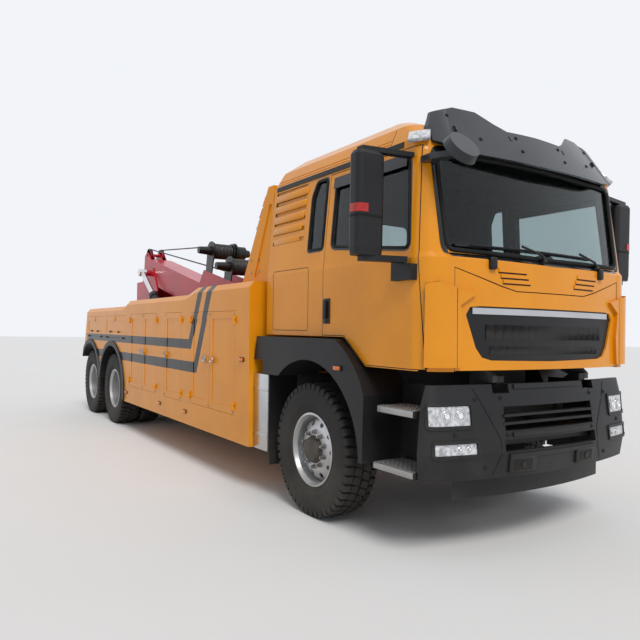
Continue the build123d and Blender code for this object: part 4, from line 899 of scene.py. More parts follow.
    def seated(
        self, laid: Laid, size: Point, along: Point = (1.0, 0.0, 0.0), bevel: float = 0.0, sink: float = 0.0
    ) -> None:
        """Add an eased block that sits on a surface.

        Args:
            laid: Point on the surface and the way out of it.
            size: Length along, height across, and thickness out of the surface.
            along: Direction that its length follows.
            bevel: Width of the eased edges.
            sink: How deep its back goes into the surface.
        """
        point, out = laid
        way = (Vector(along) - out * out.dot(Vector(along))).normalized()
        turn = Matrix((way, out.cross(way), out)).transposed()
        self.block(size, point + out * (size[2] / 2 - sink), turn, bevel)

    def disc(self, laid: Laid, radius: float, thickness: float, sides: int = 20) -> None:
        """Add a flat round boss on a surface.

        Args:
            laid: Point on the surface and the way out of it.
            radius: Its radius.
            thickness: How far it stands out.
            sides: Facets around.
        """
        point, out = laid
        self.rod(point, point + out * thickness, radius, sides)

    def place(
        self, body: str | None, material: bpy.types.Material, slot: Slot, smooth: float | None
    ) -> bpy.types.Object:
        """Finish the mesh and let it ride on a body.

        Args:
            body: The body that carries it, or None where it spans two bodies and is left on neither.
            material: Its material.
            slot: The record's slot; not used.
            smooth: Largest angle in degrees that is shaded smooth, or None for flat.

        Returns:
            The finished object.
        """
        bmesh.ops.recalc_face_normals(self.bm, faces=self.bm.faces)
        mesh = bpy.data.meshes.new(self.name)
        self.bm.to_mesh(mesh)
        self.bm.free()
        piece = bpy.data.objects.new(self.name, mesh)
        bpy.context.scene.collection.objects.link(piece)
        mesh.materials.append(material)
        if smooth is not None:
            mesh.shade_smooth()
            mesh.set_sharp_from_angle(angle=math.radians(smooth))
        if body:
            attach(piece, body)
        LOG.info("%s: %d faces on %s", self.name, len(mesh.polygons), body)
        return piece


@dataclass
class Shop:
    """What every sub-assembly needs: the frame's nodes and the palette."""

    frame: dict
    palette: Palette

    def dress(self, node: str, key: str) -> None:
        """Give a frame node a finish.

        Args:
            node: The node's name.
            key: The finish's key.
        """
        for slot in self.frame["nodes"][node].material_slots:
            slot.material = self.palette.get(key)

    def place(
        self, work: Workpiece, body: str | None, key: str, smooth: float | None = 35.0
    ) -> bpy.types.Object:
        """Finish a workpiece with a finish's material.

        Args:
            work: The shaped piece.
            body: The body that carries it, or None where it spans two bodies and is left on neither.
            key: The finish's key.
            smooth: Largest angle in degrees that is shaded smooth, or None for flat.

        Returns:
            The finished object.
        """
        return work.place(body, self.palette.get(key), FINISHES[key].slot, smooth)


# Wheels


@dataclass
class Tyre:
    """A block-tread truck tyre about its own centre, axis along Y."""

    radius: float = 0.5425
    width: float = 0.3
    bead_radius: float = 0.292
    bead_y: float = 0.107
    groove: float = 0.018
    pitches: int = 46
    lug_share: float = 0.66
    bar_share: float = 0.38
    bar_lean: float = 0.012
    steps: int = 96

    def section(self) -> list[Flat]:
        """The carcass' closed section.

        Returns:
            Corners as (along the axle, radius).
        """
        half = self.width / 2
        floor = self.radius - self.groove
        side = [
            (0.0, floor + 0.001), (0.06, floor), (0.118, floor - 0.003), (0.138, floor - 0.012),
            (0.1455, floor - 0.035), (half - 0.001, 0.462), (half, 0.43), (half - 0.002, 0.398),
            (0.1435, 0.372), (0.1445, 0.366), (0.14, 0.36), (0.1335, 0.335), (0.127, 0.324),
            (0.124, 0.312), (0.119, 0.303), (self.bead_y, self.bead_radius + 0.006),
            (self.bead_y - 0.004, self.bead_radius), (self.bead_y - 0.03, self.bead_radius),
            (0.09, 0.315), (0.118, 0.36), (0.134, 0.43), (0.126, 0.49), (0.1, 0.505), (0.0, 0.508),
        ]
        return side + [(-along, radius) for along, radius in reversed(side[1:-1])]

    def build(self, work: Workpiece, centre: Point) -> None:
        """Add the tyre to a workpiece.

        Args:
            work: The piece that it is added to.
            centre: The tyre's centre.
        """
        work.turned(self.section(), centre, steps=self.steps)
        old = set(work.bm.verts)
        x, y, z = centre
        crown = z + self.radius
        foot = crown - self.groove - 0.006
        pitch = 2 * math.pi * self.radius / self.pitches
        for sign in (1, -1):
            lug = pitch * self.lug_share
            edge = x - lug / 2 + (0.0 if sign > 0 else pitch / 2)
            profile = (
                (0.084, foot), (0.084, crown), (0.132, crown - 0.001), (0.1455, crown - 0.012),
                (0.1488, crown - 0.052), (0.143, crown - 0.058), (0.11, foot),
            )
            work.slab([(edge, y + sign * out, height) for out, height in profile], (lug, 0.0, 0.0))
            lean = sign * self.bar_lean
            half = pitch * self.bar_share
            near, far = y + sign * 0.008, y + sign * 0.074
            middle = (near + far) / 2
            rear, front = x - half + pitch / 4 * sign, x + half + pitch / 4 * sign
            work.slab(
                [
                    (rear - lean, near, foot), (front - lean, near, foot), (front + 0.004, middle, foot),
                    (front + lean, far, foot), (rear + lean, far, foot), (rear - 0.006, middle, foot),
                ],
                (0.0, 0.0, crown - foot),
            )
        blocks = [vert for vert in work.bm.verts if vert not in old]
        faces = list({face for vert in blocks for face in vert.link_faces})
        geom = blocks + edges_of(blocks) + faces
        bmesh.ops.spin(
            work.bm, geom=geom, cent=centre, axis=(0.0, 1.0, 0.0), dvec=(0, 0, 0), use_duplicate=True,
            angle=2 * math.pi * (self.pitches - 1) / self.pitches, steps=self.pitches - 1, use_merge=False,
        )


@dataclass(frozen=True)
class Hub:
    """Where a rim's nuts and cap sit, and the cap's section as (along the axle, radius)."""

    seat_y: float
    nut_circle: float
    cap_y: float
    cap_circle: float
    section: tuple[Flat, ...]
    finish: str


FRONT_HUB = Hub(
    FRONT_TYRE_Y + 0.0893, 0.1425, FRONT_TYRE_Y + 0.0925, 0.1,
    (
        (0.0, 0.0), (0.0, 0.114), (0.01, 0.114), (0.014, 0.106), (0.04, 0.1), (0.05, 0.092),
        (0.054, 0.07), (0.062, 0.05), (0.064, 0.0),
    ),
    "chassis",
)
REAR_HUB = Hub(
    0.9103, 0.158, 1.0503, 0.072,
    (
        (0.0, 0.0), (0.0, 0.09), (0.008, 0.09), (0.012, 0.084), (0.013, 0.056), (0.02, 0.05),
        (0.022, 0.0),
    ),
    "rim",
)


@dataclass
class Wheels:
    """The ten tyres in place of the plain ones, and the nuts and caps on the rims."""

    tyre: Tyre = field(default_factory=Tyre)
    studs: int = 10
    nut_radius: float = 0.0165
    nut_height: float = 0.026
    cap_bolts: int = 8

    def nut(self, work: Workpiece, start: Point, outward: float) -> None:
        """Add a flanged wheel nut with its stud's end.

        Args:
            work: The piece that it is added to.
            start: Middle of the seat.
            outward: Sign of the way out along Y.
        """
        x, y, z = start
        for radius, sides, near, far in (
            (self.nut_radius + 0.005, 16, 0.0, 0.005), (self.nut_radius, 6, 0.005, self.nut_height),
            (0.0105, 12, self.nut_height, self.nut_height + 0.016),
        ):
            work.rod((x, y + outward * near, z), (x, y + outward * far, z), radius, sides)

    def nuts(self, work: Workpiece, seat: Point, circle: float, outward: float) -> None:
        """Add the ring of nuts of one wheel.

        Args:
            work: The piece that they are added to.
            seat: Middle of the disc's face that they hold.
            circle: Radius of the ring.
            outward: Sign of the way out along Y.
        """
        for index in range(self.studs):
            angle = 2 * math.pi * (index + 0.5) / self.studs
            x = seat[0] + circle * math.cos(angle)
            z = seat[2] + circle * math.sin(angle)
            self.nut(work, (x, seat[1], z), outward)

    def build(self, shop: Shop) -> None:
        """Make every wheel's pieces.

        Args:
            shop: The frame and the palette.
        """
        for axle, station in AXLE_STATIONS.items():
            for side in Side:
                node = f"tyre_{axle}_{side.word}"
                body = f"wheel_{axle}_{side.word}"
                sign = side.value
                if axle == "front":
                    planes = [FRONT_TYRE_Y]
                else:
                    planes = [TWIN_CENTRE_Y - TWIN_SPACING / 2, TWIN_CENTRE_Y + TWIN_SPACING / 2]
                tread = Workpiece(f"block_tread_{axle}_{side.word}")
                for plane in planes:
                    self.tyre.build(tread, (at(station), sign * plane, HUB_Z))
                piece = shop.place(tread, body, "rubber", 40.0)
                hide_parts(node)
                self.hub(shop, axle, side, at(station))

    def hub(self, shop: Shop, axle: str, side: Side, x: float) -> None:
        """Make a wheel's nuts and its hub cap or hub flange.

        Args:
            shop: The frame and the palette.
            axle: The axle's name.
            side: The wheel's side.
            x: X of the hub.
        """
        sign = side.value
        hub = FRONT_HUB if axle == "front" else REAR_HUB
        body = f"wheel_{axle}_{side.word}"
        nuts = Workpiece(f"wheel_nuts_{axle}_{side.word}")
        cap = Workpiece(f"hub_cap_{axle}_{side.word}")
        self.nuts(nuts, (x, sign * hub.seat_y, HUB_Z), hub.nut_circle, sign)
        section = [(sign * along, radius) for along, radius in hub.section]
        cap.turned(section, (x, sign * hub.cap_y, HUB_Z), steps=40)
        for index in range(self.cap_bolts):
            angle = 2 * math.pi * index / self.cap_bolts
            ahead, up = hub.cap_circle * math.cos(angle), hub.cap_circle * math.sin(angle)
            place = (x + ahead, sign * (hub.cap_y + 0.01), HUB_Z + up)
            end = (place[0], place[1] + sign * 0.009, place[2])
            cap.rod(place, end, 0.0075, 6)
        shop.place(nuts, body, "nut", 30.0)
        shop.place(cap, body, hub.finish, 35.0)


# Rigging


@dataclass
class Rigging:
    """Ropes from the two winches over the boom's head, drum windings and the sheaves' flanges."""

    pivot: Flat = (-2.9, 1.56)
    angle: float = 13.2
    rope_radius: float = 0.011
    drum_radius: float = 0.092
    winches: tuple[Flat, Flat] = ((0.956, 0.618), (1.643, 0.744))
    # for each winch, on which side of the drum its rope leaves, and the Y there
    leaving: tuple[Flat, Flat] = ((-1.0, -0.05), (1.0, 0.04))
    head: Flat = (4.78, 0.244)
    head_y: float = 0.11
    sheave_radius: float = 0.105
    drum_span: Flat = (-0.168, 0.106)

    def point(self, along: float, across: float, y: float) -> Point:
        """A point given in the boom's own axes.

        Args:
            along: Distance along the boom from its pivot.
            across: Distance square to it, upwards.
            y: Y in the frame.

        Returns:
            The point in the frame.
        """
        turn = math.radians(self.angle)
        x = at(self.pivot[0]) - along * math.cos(turn) + across * math.sin(turn)
        z = self.pivot[1] + along * math.sin(turn) + across * math.cos(turn)
        return (x, y, z)

    def build(self, shop: Shop) -> None:
        """Make the ropes, their windings and the sheaves' flanges.

        Args:
            shop: The frame and the palette.
        """
        coils = Workpiece("rope_windings")
        for along, across in self.winches:
            self.winding(coils, along, across)
        shop.place(coils, "boom", "rope", 60.0)
        for index, sign in enumerate((-1, 1)):
            rope = Workpiece(f"winch_rope_{index + 1}")
            rope.tube(self.path(index, sign), self.rope_radius, 10)
            piece = shop.place(rope, None, "rope", 60.0)
            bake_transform(piece)
        flanges = Workpiece("sheave_flanges")
        for sign in (-1, 1):
            for edge in (-0.026, 0.0205):
                section = [(edge, 0.03), (edge, 0.122), (edge + 0.0055, 0.122), (edge + 0.0055, 0.03)]
                flanges.turned(section, self.point(*self.head, sign * self.head_y), steps=40)
        shop.place(flanges, "boom_inner", "winch", 35.0)

    def winding(self, work: Workpiece, along: float, across: float) -> None:
        """Add one drum's layer of rope.

        Args:
            work: The piece that it is added to.
            along: The drum's place along the boom.
            across: The drum's height over the boom's line.
        """
        low, high = self.drum_span
        pitch = 2.06 * self.rope_radius
        turns = int((high - low) / pitch)
        for turn in range(turns):
            middle = low + pitch * (turn + 0.5)
            section = [
                (middle + self.rope_radius * math.cos(angle),
                 self.drum_radius + self.rope_radius * (1 + math.sin(angle)))
                for angle in (2 * math.pi * step / 8 for step in range(8))
            ]
            work.turned(section, self.point(along, across, 0.0), steps=40)

    def path(self, index: int, sign: int) -> list[Point]:
        """The line of one rope: off its drum, to its sheave and down to the boom's head.

        Args:
            index: Which winch.
            sign: Sign of the sheave's Y.

        Returns:
            Points along the rope.
        """
        along, across = self.winches[index]
        reach = self.drum_radius + self.rope_radius
        rim = self.sheave_radius + self.rope_radius
        way, drum_y = self.leaving[index]
        points = [self.point(along, across + way * reach, drum_y)]
        y = sign * self.head_y
        for step in range(9):
            angle = math.radians(96 - step * 19)
            along, across = self.head[0] + rim * math.cos(angle), self.head[1] + rim * math.sin(angle)
            points.append(self.point(along, across, y))
        points.append(self.point(self.head[0] - 0.16, self.head[1] - rim - 0.05, y))
        return points


# Surfaces that trims are laid on


class Skin:
    """The outer surface of some frame nodes, found by rays."""

    def __init__(self, shop: Shop, *nodes: str) -> None:
        """Read the nodes' meshes.

        Args:
            shop: The frame and the palette.
            *nodes: Names of the nodes.
        """
        mesh = bmesh.new()
        for node in nodes:
            mesh.from_mesh(shop.frame["nodes"][node].data)
        self.tree = BVHTree.FromBMesh(mesh)
        mesh.free()

    def lay(self, start: Point, way: Point) -> Laid:
        """Where a ray meets the surface.

        Args:
            start: Where the ray starts.
            way: Its direction.

        Returns:
            The point and the way out of the surface, or the start where nothing is met,
            which sound() leaves out of a line.
        """
        ahead = Vector(way).normalized()
        point, out = self.tree.ray_cast(Vector(start), ahead)[:2]
        if point is None:
            LOG.warning("no surface from %s along %s", start, way)
            return Vector(start), -ahead
        return point, -out if out.dot(ahead) > 0 else out

    def flank(self, station: float, z: float, side: Side) -> Laid:
        """The surface seen from the truck's side.

        Args:
            station: Station along the truck.
            z: Height.
            side: Which side.

        Returns:
            The point and the way out.
        """
        return self.lay((at(station), side.value * 2.0, z), (0.0, -side.value, 0.0))

    def front(self, y: float, z: float) -> Laid:
        """The surface seen from ahead.

        Args:
            y: Y of the point.
            z: Height.

        Returns:
            The point and the way out.
        """
        return self.lay((at(2.0), y, z), (-1.0, 0.0, 0.0))

    def across(self, width: float, z: float, steps: int) -> list[Laid]:
        """A level row of points seen from ahead.

        Args:
            width: The row's length, half of it on each side.
            z: Height.
            steps: Gaps between the points.

        Returns:
            The points and the ways out.
        """
        return [self.front(-width / 2 + width * step / steps, z) for step in range(steps + 1)]

    def along(self, rear: float, length: float, z: float, side: Side, steps: int) -> list[Laid]:
        """A level row of points seen from the truck's side.

        Args:
            rear: Station of the rearmost point.
            length: The row's length.
            z: Height.
            side: Which side.
            steps: Gaps between the points.

        Returns:
            The points and the ways out.
        """
        return [self.flank(rear + length * step / steps, z, side) for step in range(steps + 1)]

    def around(
        self, centre: Point, angles: Sequence[float], sign: float = 1.0, reach: float = 0.4
    ) -> list[Laid]:
        """Points seen from a level ring that looks in at its middle.

        Args:
            centre: The ring's middle.
            angles: Places on the ring, turned from +X to +Y.
            sign: 1, or -1 to turn them from +X to -Y.
            reach: The ring's radius.

        Returns:
            The points and the ways out.
        """
        laid = []
        for angle in angles:
            ahead, aside = math.cos(angle), sign * math.sin(angle)
            start = (centre[0] + reach * ahead, centre[1] + reach * aside, centre[2])
            laid.append(self.lay(start, (-ahead, -aside, 0.0)))
        return laid

    def corner(self, side: Side, z: float) -> Laid:
        """The surface seen from one front corner, at 45 degrees.

        Args:
            side: Which side.
            z: Height.

        Returns:
            The point and the way out.
        """
        return self.lay((at(3.1), side.value * 3.0, z), (-1.0, -side.value, 0.0))

    def shut_in(self, face: bmesh.types.BMFace, reach: float = 3.0) -> bool:
        """Whether a face looks at another one of these nodes.

        Args:
            face: The face.
            reach: How far it is followed.

        Returns:
            True for a face of the inside, false for one of the outer skin.
        """
        start = face.calc_center_median() + face.normal * 0.0005
        return self.tree.ray_cast(start, face.normal, reach)[0] is not None


def eased(outline: Sequence[Flat], radius: float, steps: int = 4) -> list[Flat]:
    """Round the corners of a closed outline.

    Args:
        outline: Its corners in order.
        radius: Distance from each corner at which the curve starts.
        steps: Pieces in each corner.

    Returns:
        The rounded outline.
    """
    points = []
    count = len(outline)
    for index, corner in enumerate(outline):
        here = Vector(corner)
        back = (Vector(outline[index - 1]) - here).normalized() * radius + here
        ahead = (Vector(outline[(index + 1) % count]) - here).normalized() * radius + here
        for step in range(steps + 1):
            t = step / steps
            spot = back * (1 - t) ** 2 + here * 2 * t * (1 - t) + ahead * t * t
            points.append((spot.x, spot.y))
    return points


def grown(loop: Sequence[Flat], amount: float) -> list[Flat]:
    """Move a loop's points away from its middle.

    Args:
        loop: Points of the loop.
        amount: Distance that each moves, less than nothing to draw it in.

    Returns:
        The moved points.
    """
    middle = sum((Vector(spot) for spot in loop), Vector((0.0, 0.0))) / len(loop)
    moved = []
    for spot in loop:
        away = Vector(spot) - middle
        shift = Vector((math.copysign(amount, away.x), math.copysign(amount, away.y)))
        moved.append((spot[0] + shift.x, spot[1] + shift.y))
    return moved


def divided(points: Sequence[Flat], step: float, closed: bool = True) -> list[Flat]:
    """Add points on an outline's long runs.

    Args:
        points: Corners in order.
        step: Longest run that is left.
        closed: Whether the last corner joins the first.

    Returns:
        The corners with the added points.
    """
    spread = []
    count = len(points)
    for index in range(count if closed else count - 1):
        here, there = Vector(points[index]), Vector(points[(index + 1) % count])
        parts = max(1, math.ceil((there - here).length / step))
        spread += [tuple(here.lerp(there, part / parts)) for part in range(parts)]
    if not closed:
        spread.append(tuple(points[-1]))
    return spread


def sound(laid: Sequence[Laid], reach: float = 0.12, window: int = 4) -> list[Laid]:
    """Leave out the points of a line that fell through a gap or met nothing.

    Args:
        laid: Points of the line with the way out.
        reach: How far along X a point may be from the middle one of those near it.
        window: How many points on each side count as near.

    Returns:
        The points that lie on the surface.
    """
    kept = []
    for index, (point, out) in enumerate(laid):
        near = sorted(laid[(index + shift) % len(laid)][0].x for shift in range(-window, window + 1))
        if abs(point.x - near[window]) < reach:
            kept.append((point, out))
    return kept


# Cab


@dataclass
class CabLining:
    """The dark lining on every inward face of the cab, its roof and its doors."""

    nodes: tuple[tuple[str, str], ...] = (
        ("cab_shell", "cab"), ("cab_roof", "cab"), ("door_left", "door_left"), ("door_right", "door_right"),
    )
    others: tuple[str, ...] = ("cab_glass", "door_glass_left", "door_glass_right", "front_flap")
    lift: float = 0.0004
    sheet: float = 0.0012

    def build(self, shop: Shop) -> None:
        """Make each node's lining.

        Args:
            shop: The frame and the palette.
        """
        walls = Skin(shop, *[node for node, _ in self.nodes], *self.others)
        for node, body in self.nodes:
            work = Workpiece(f"{node}_lining")
            work.bm.from_mesh(shop.frame["nodes"][node].data)
            bmesh.ops.remove_doubles(work.bm, verts=work.bm.verts, dist=0.00002)
            work.bm.normal_update()
            outer = [face for face in work.bm.faces if not walls.shut_in(face)]
            bmesh.ops.delete(work.bm, geom=outer, context="FACES")
            work.bm.normal_update()
            for vert in work.bm.verts:
                vert.co += vert.normal * (self.lift + self.sheet)
            bmesh.ops.solidify(work.bm, geom=list(work.bm.faces), thickness=self.sheet)
            shop.place(work, body, "cab_lining", 20.0)


@dataclass
class CabTrim:
    """Seals, glass borders, gutters, handles, pressed ribs, louvres, wipers and mirror details."""

    seal_radius: float = 0.011
    # outlines as (station, height), the windscreen's as (Y, height)
    door_window: tuple[Flat, ...] = ((1.14, 2.085), (0.225, 2.185), (0.225, 2.7), (1.075, 2.7))
    quarter_window: tuple[Flat, ...] = (
        (0.075, 2.185), (-0.125, 2.185), (-0.125, 2.62), (-0.06, 2.74), (0.075, 2.74),
    )
    windscreen: tuple[Flat, ...] = (
        (0.0, 2.056), (0.94, 2.072), (0.955, 2.722), (0.0, 2.728), (-0.955, 2.722), (-0.94, 2.072),
    )
    # rear and front stations of the lowest and the highest rib
    rib_ends: tuple[Flat, Flat] = ((-0.765, -0.3), (-0.765, -0.21))
    rib_z: tuple[float, ...] = (2.31, 2.41, 2.51, 2.61, 2.71)
    fuel_flap: tuple[Flat, ...] = ((-0.7, 1.515), (-0.1, 1.515), (-0.1, 2.04), (-0.7, 2.04))
    # Y of each wiper's pivot, of its blade's tip and of its blade's end
    wiper_places: tuple[Point, ...] = ((-0.1, -0.52, -0.2), (0.57, 0.12, 0.5))
    wiper_reach: float = 0.36
    mirror_station: float = 1.053
    mirror_y: float = 1.409
    mirror_faces: tuple[Flat, ...] = ((2.08, 2.24), (2.29, 2.64))
    louvres: int = 3
    louvre_pitch: float = 0.037
    louvre_width: float = 0.262

    def build(self, shop: Shop) -> None:
        """Find the cab's surfaces and make all of its trims.

        Args:
            shop: The frame and the palette.
        """
        self.shop = shop
        self.shell = Skin(shop, "cab_shell", "cab_roof", "front_flap", "cab_glass")
        self.doors = {side: Skin(shop, f"door_{side.word}", f"door_glass_{side.word}") for side in Side}
        self.window_seals()
        self.glass_borders()
        self.ribs()
        self.roof_lines()
        self.handles()
        self.wipers()
        self.vents()
        self.mirrors()

    def window_seals(self) -> None:
        """Lay a rubber seal round each window."""
        for side in Side:
            door = Workpiece(f"door_window_seal_{side.word}")
            loop = grown(eased(self.door_window, 0.05), 0.006)
            door.tube([self.doors[side].flank(*spot, side)[0] for spot in loop], self.seal_radius, 8, True)
            self.shop.place(door, f"door_{side.word}", "seal", 60.0)
        fixed = Workpiece("fixed_window_seals")
        for side in Side:
            loop = grown(eased(self.quarter_window, 0.03), 0.006)
            fixed.tube([self.shell.flank(*spot, side)[0] for spot in loop], self.seal_radius, 8, True)
        loop = divided(grown(eased(self.windscreen, 0.06), 0.004), 0.12)
        edge = sound([self.shell.front(y, z) for y, z in loop])
        fixed.tube([point for point, _ in edge], 0.017, 8, True)
        self.shop.place(fixed, "cab", "seal", 60.0)

    def glass_borders(self) -> None:
        """Print the black border on each pane and hang a smoked strip over each door window."""
        fixed = Workpiece("glass_borders")
        loop = divided(eased(grown(self.windscreen, -0.032), 0.07), 0.12)
        fixed.ribbon(sound([self.shell.front(y, z) for y, z in loop]), 0.045, 0.002, True)
        for side in Side:
            loop = grown(eased(self.quarter_window, 0.03), -0.016)
            fixed.ribbon([self.shell.flank(*spot, side) for spot in loop], 0.024, 0.002, True)
        self.shop.place(fixed, "cab", "gloss_black", 60.0)
        for side in Side:
            border = Workpiece(f"door_glass_border_{side.word}")
            loop = divided(grown(eased(self.door_window, 0.06), -0.018), 0.2)
            border.ribbon([self.doors[side].flank(*spot, side) for spot in loop], 0.026, 0.002, True)
            self.shop.place(border, f"door_{side.word}", "gloss_black", 60.0)
            strip = Workpiece(f"rain_deflector_{side.word}")
            path = self.doors[side].along(0.2, 0.875, 2.716, side, 8)
            lowered = [(point - Vector((0, 0, 0.034)), out) for point, out in path]
            strip.ribbon(lowered, 0.085, 0.004, lift=0.02)
            self.shop.place(strip, f"door_{side.word}", "visor", 50.0)

    def ribs(self) -> None:
        """Press five level ribs and the outline of a flap into the rear side panels."""
        ribs = Workpiece("pressed_side_ribs")
        seams = Workpiece("fuel_flap_seams")
        (low_rear, low_front), (_, high_front) = self.rib_ends
        for side in Side:
            for index, z in enumerate(self.rib_z):
                front = low_front + (high_front - low_front) * index / (len(self.rib_z) - 1)
                laid = self.shell.flank((low_rear + front) / 2, z, side)
                ribs.seated(laid, (front - low_rear, 0.066, 0.03), bevel=0.0135, sink=0.017)
            loop = divided(eased(self.fuel_flap, 0.03), 0.2)
            seams.ribbon([self.shell.flank(*spot, side) for spot in loop], 0.005, 0.0016, True)
        self.shop.place(ribs, "cab", "plain_yellow", 60.0)
        self.shop.place(seams, "cab", "seal", 60.0)

    def roof_lines(self) -> None:
        """Lay the black gutter bands, the two raised lines above them and the roof's seams."""
        gutters = Workpiece("roof_gutters")
        lines = Workpiece("raised_roof_lines")
        for side in Side:
            gutters.ribbon(self.shell.along(-0.775, 1.78, 2.803, side, 12), 0.04, 0.014)
            for z in (2.848, 2.874):
                lines.ribbon(self.shell.along(-0.76, 1.6, z, side, 12), 0.009, 0.008)
            seam = [self.shell.flank(0.86, 2.83 + 0.12 * step / 4, side) for step in range(5)]
            gutters.ribbon(seam, 0.005, 0.002)
        self.shop.place(gutters, "cab", "trim", 60.0)
        self.shop.place(lines, "cab", "plain_yellow", 60.0)

    def handles(self) -> None:
        """Set a door handle in its rounded recess plate, with a lock, on each door."""
        for side in Side:
            work = Workpiece(f"door_handle_{side.word}")
            laid = self.doors[side].flank(0.185, 1.672, side)
            point, out = laid
            work.seated(laid, (0.095, 0.2, 0.012), bevel=0.005, sink=0.006)
            grip = (point + out * 0.014 + Vector((0.0, 0.0, 0.012)), out)
            work.seated(grip, (0.04, 0.15, 0.016), bevel=0.006)
            work.disc((point + Vector((0.0, 0.0, -0.082)), out), 0.012, 0.01)
            self.shop.place(work, f"door_{side.word}", "trim", 40.0)

    def wipers(self) -> None:
        """Set two wipers on the lower edge of the windscreen and the hinge covers beside them."""
        work = Workpiece("windscreen_wipers")
        for pivot_y, tip_y, end_y in self.wiper_places:
            pivot, out = self.shell.front(pivot_y, 2.03)
            work.rod(pivot - out * 0.01, pivot + out * 0.03, 0.02, 16)
            middle, _ = self.shell.front((tip_y + pivot_y) / 2, 2.1)
            elbow = pivot + Vector((0.02, -0.03, 0.05))
            work.tube([pivot + out * 0.022, elbow, middle + out * 0.045], 0.009, 8)
            run = end_y - tip_y + self.wiper_reach
            places = [tip_y - self.wiper_reach + run * step / 6 for step in range(7)]
            row = [self.shell.front(y, 2.1) for y in places]
            blade = sound(row, window=2)
            work.ribbon(blade, 0.02, 0.018, lift=0.014)
            work.tube([point + normal * 0.034 for point, normal in blade[1:-1]], 0.006, 6)
        for sign in (1, -1):
            laid = self.shell.front(sign * 0.604, 1.992)
            work.seated(laid, (0.06, 0.085, 0.04), along=(0, 1, 0), bevel=0.012, sink=0.012)
        self.shop.place(work, "cab", "trim", 50.0)

    def vents(self) -> None:
        """Press three louvres on each side of the cowl, each over a dark strip of painted shade."""
        louvres = Workpiece("cowl_louvres")
        louvre_shade = Workpiece("cowl_louvre_slots")
        for sign in (1, -1):
            for row in range(self.louvres):
                z = 1.95 - row * self.louvre_pitch
                outer = 0.548 - row * 0.02
                inner = outer - self.louvre_width
                places = [sign * (outer + (inner - outer) * step / 6) for step in range(7)]
                shell = [self.shell.front(y, z) for y in places]
                louvres.ribbon(shell, 0.024, 0.018)
                # a dark strip just under each louvre: painted shade
                below = [(point - Vector((0.0, 0.0, 0.016)), out) for point, out in shell]
                louvre_shade.ribbon(below, 0.009, 0.006)
        self.shop.place(louvres, "front_flap", "plain_yellow", 50.0)
        self.shop.place(louvre_shade, "front_flap", "seal", 50.0)

    def mirrors(self) -> None:
        """Give each door mirror its glass faces, its neck, its lamp and its bracket's covers."""
        for side in Side:
            sign = side.value
            body = f"door_{side.word}"
            glass = Workpiece(f"mirror_glass_{side.word}")
            x, y = at(self.mirror_station), sign * self.mirror_y
            for low, high in self.mirror_faces:
                size, centre = (0.006, 0.16, high - low), (x - 0.0635, y, (low + high) / 2)
                glass.block(size, centre, None, 0.0025)
            self.shop.place(glass, body, "mirror", 35.0)
            neck = Workpiece(f"mirror_neck_{side.word}")
            housing = Skin(self.shop, f"mirror_{side.word}")
            turns = [2 * math.pi * step / 40 for step in range(40)]
            neck.ribbon(housing.around((x, y, 2.262), turns), 0.016, 0.004, True)
            self.shop.place(neck, body, "seal", 35.0)
            lamp = Workpiece(f"mirror_lamp_{side.word}")
            turns = [math.radians(28 + 11 * step) for step in range(8)]
            lamp.ribbon(housing.around((x, y, 2.31), turns, sign), 0.055, 0.008)
            self.shop.place(lamp, body, "red", 35.0)
            cover = Workpiece(f"mirror_bracket_cover_{side.word}")
            for station in (1.085, 1.17):
                laid = self.doors[side].flank(station, 1.912, side)
                cover.seated(laid, (0.09, 0.092, 0.05), bevel=0.014, sink=0.01)
            self.shop.place(cover, body, "trim", 40.0)
        corner = Workpiece("a_pillar_bracket_covers")
        for side in Side:
            laid = self.shell.corner(side, 1.912)
            corner.seated(laid, (0.12, 0.092, 0.03), along=(1.0, -side.value, 0.0), bevel=0.012, sink=0.01)
        self.shop.place(corner, "cab", "trim", 40.0)


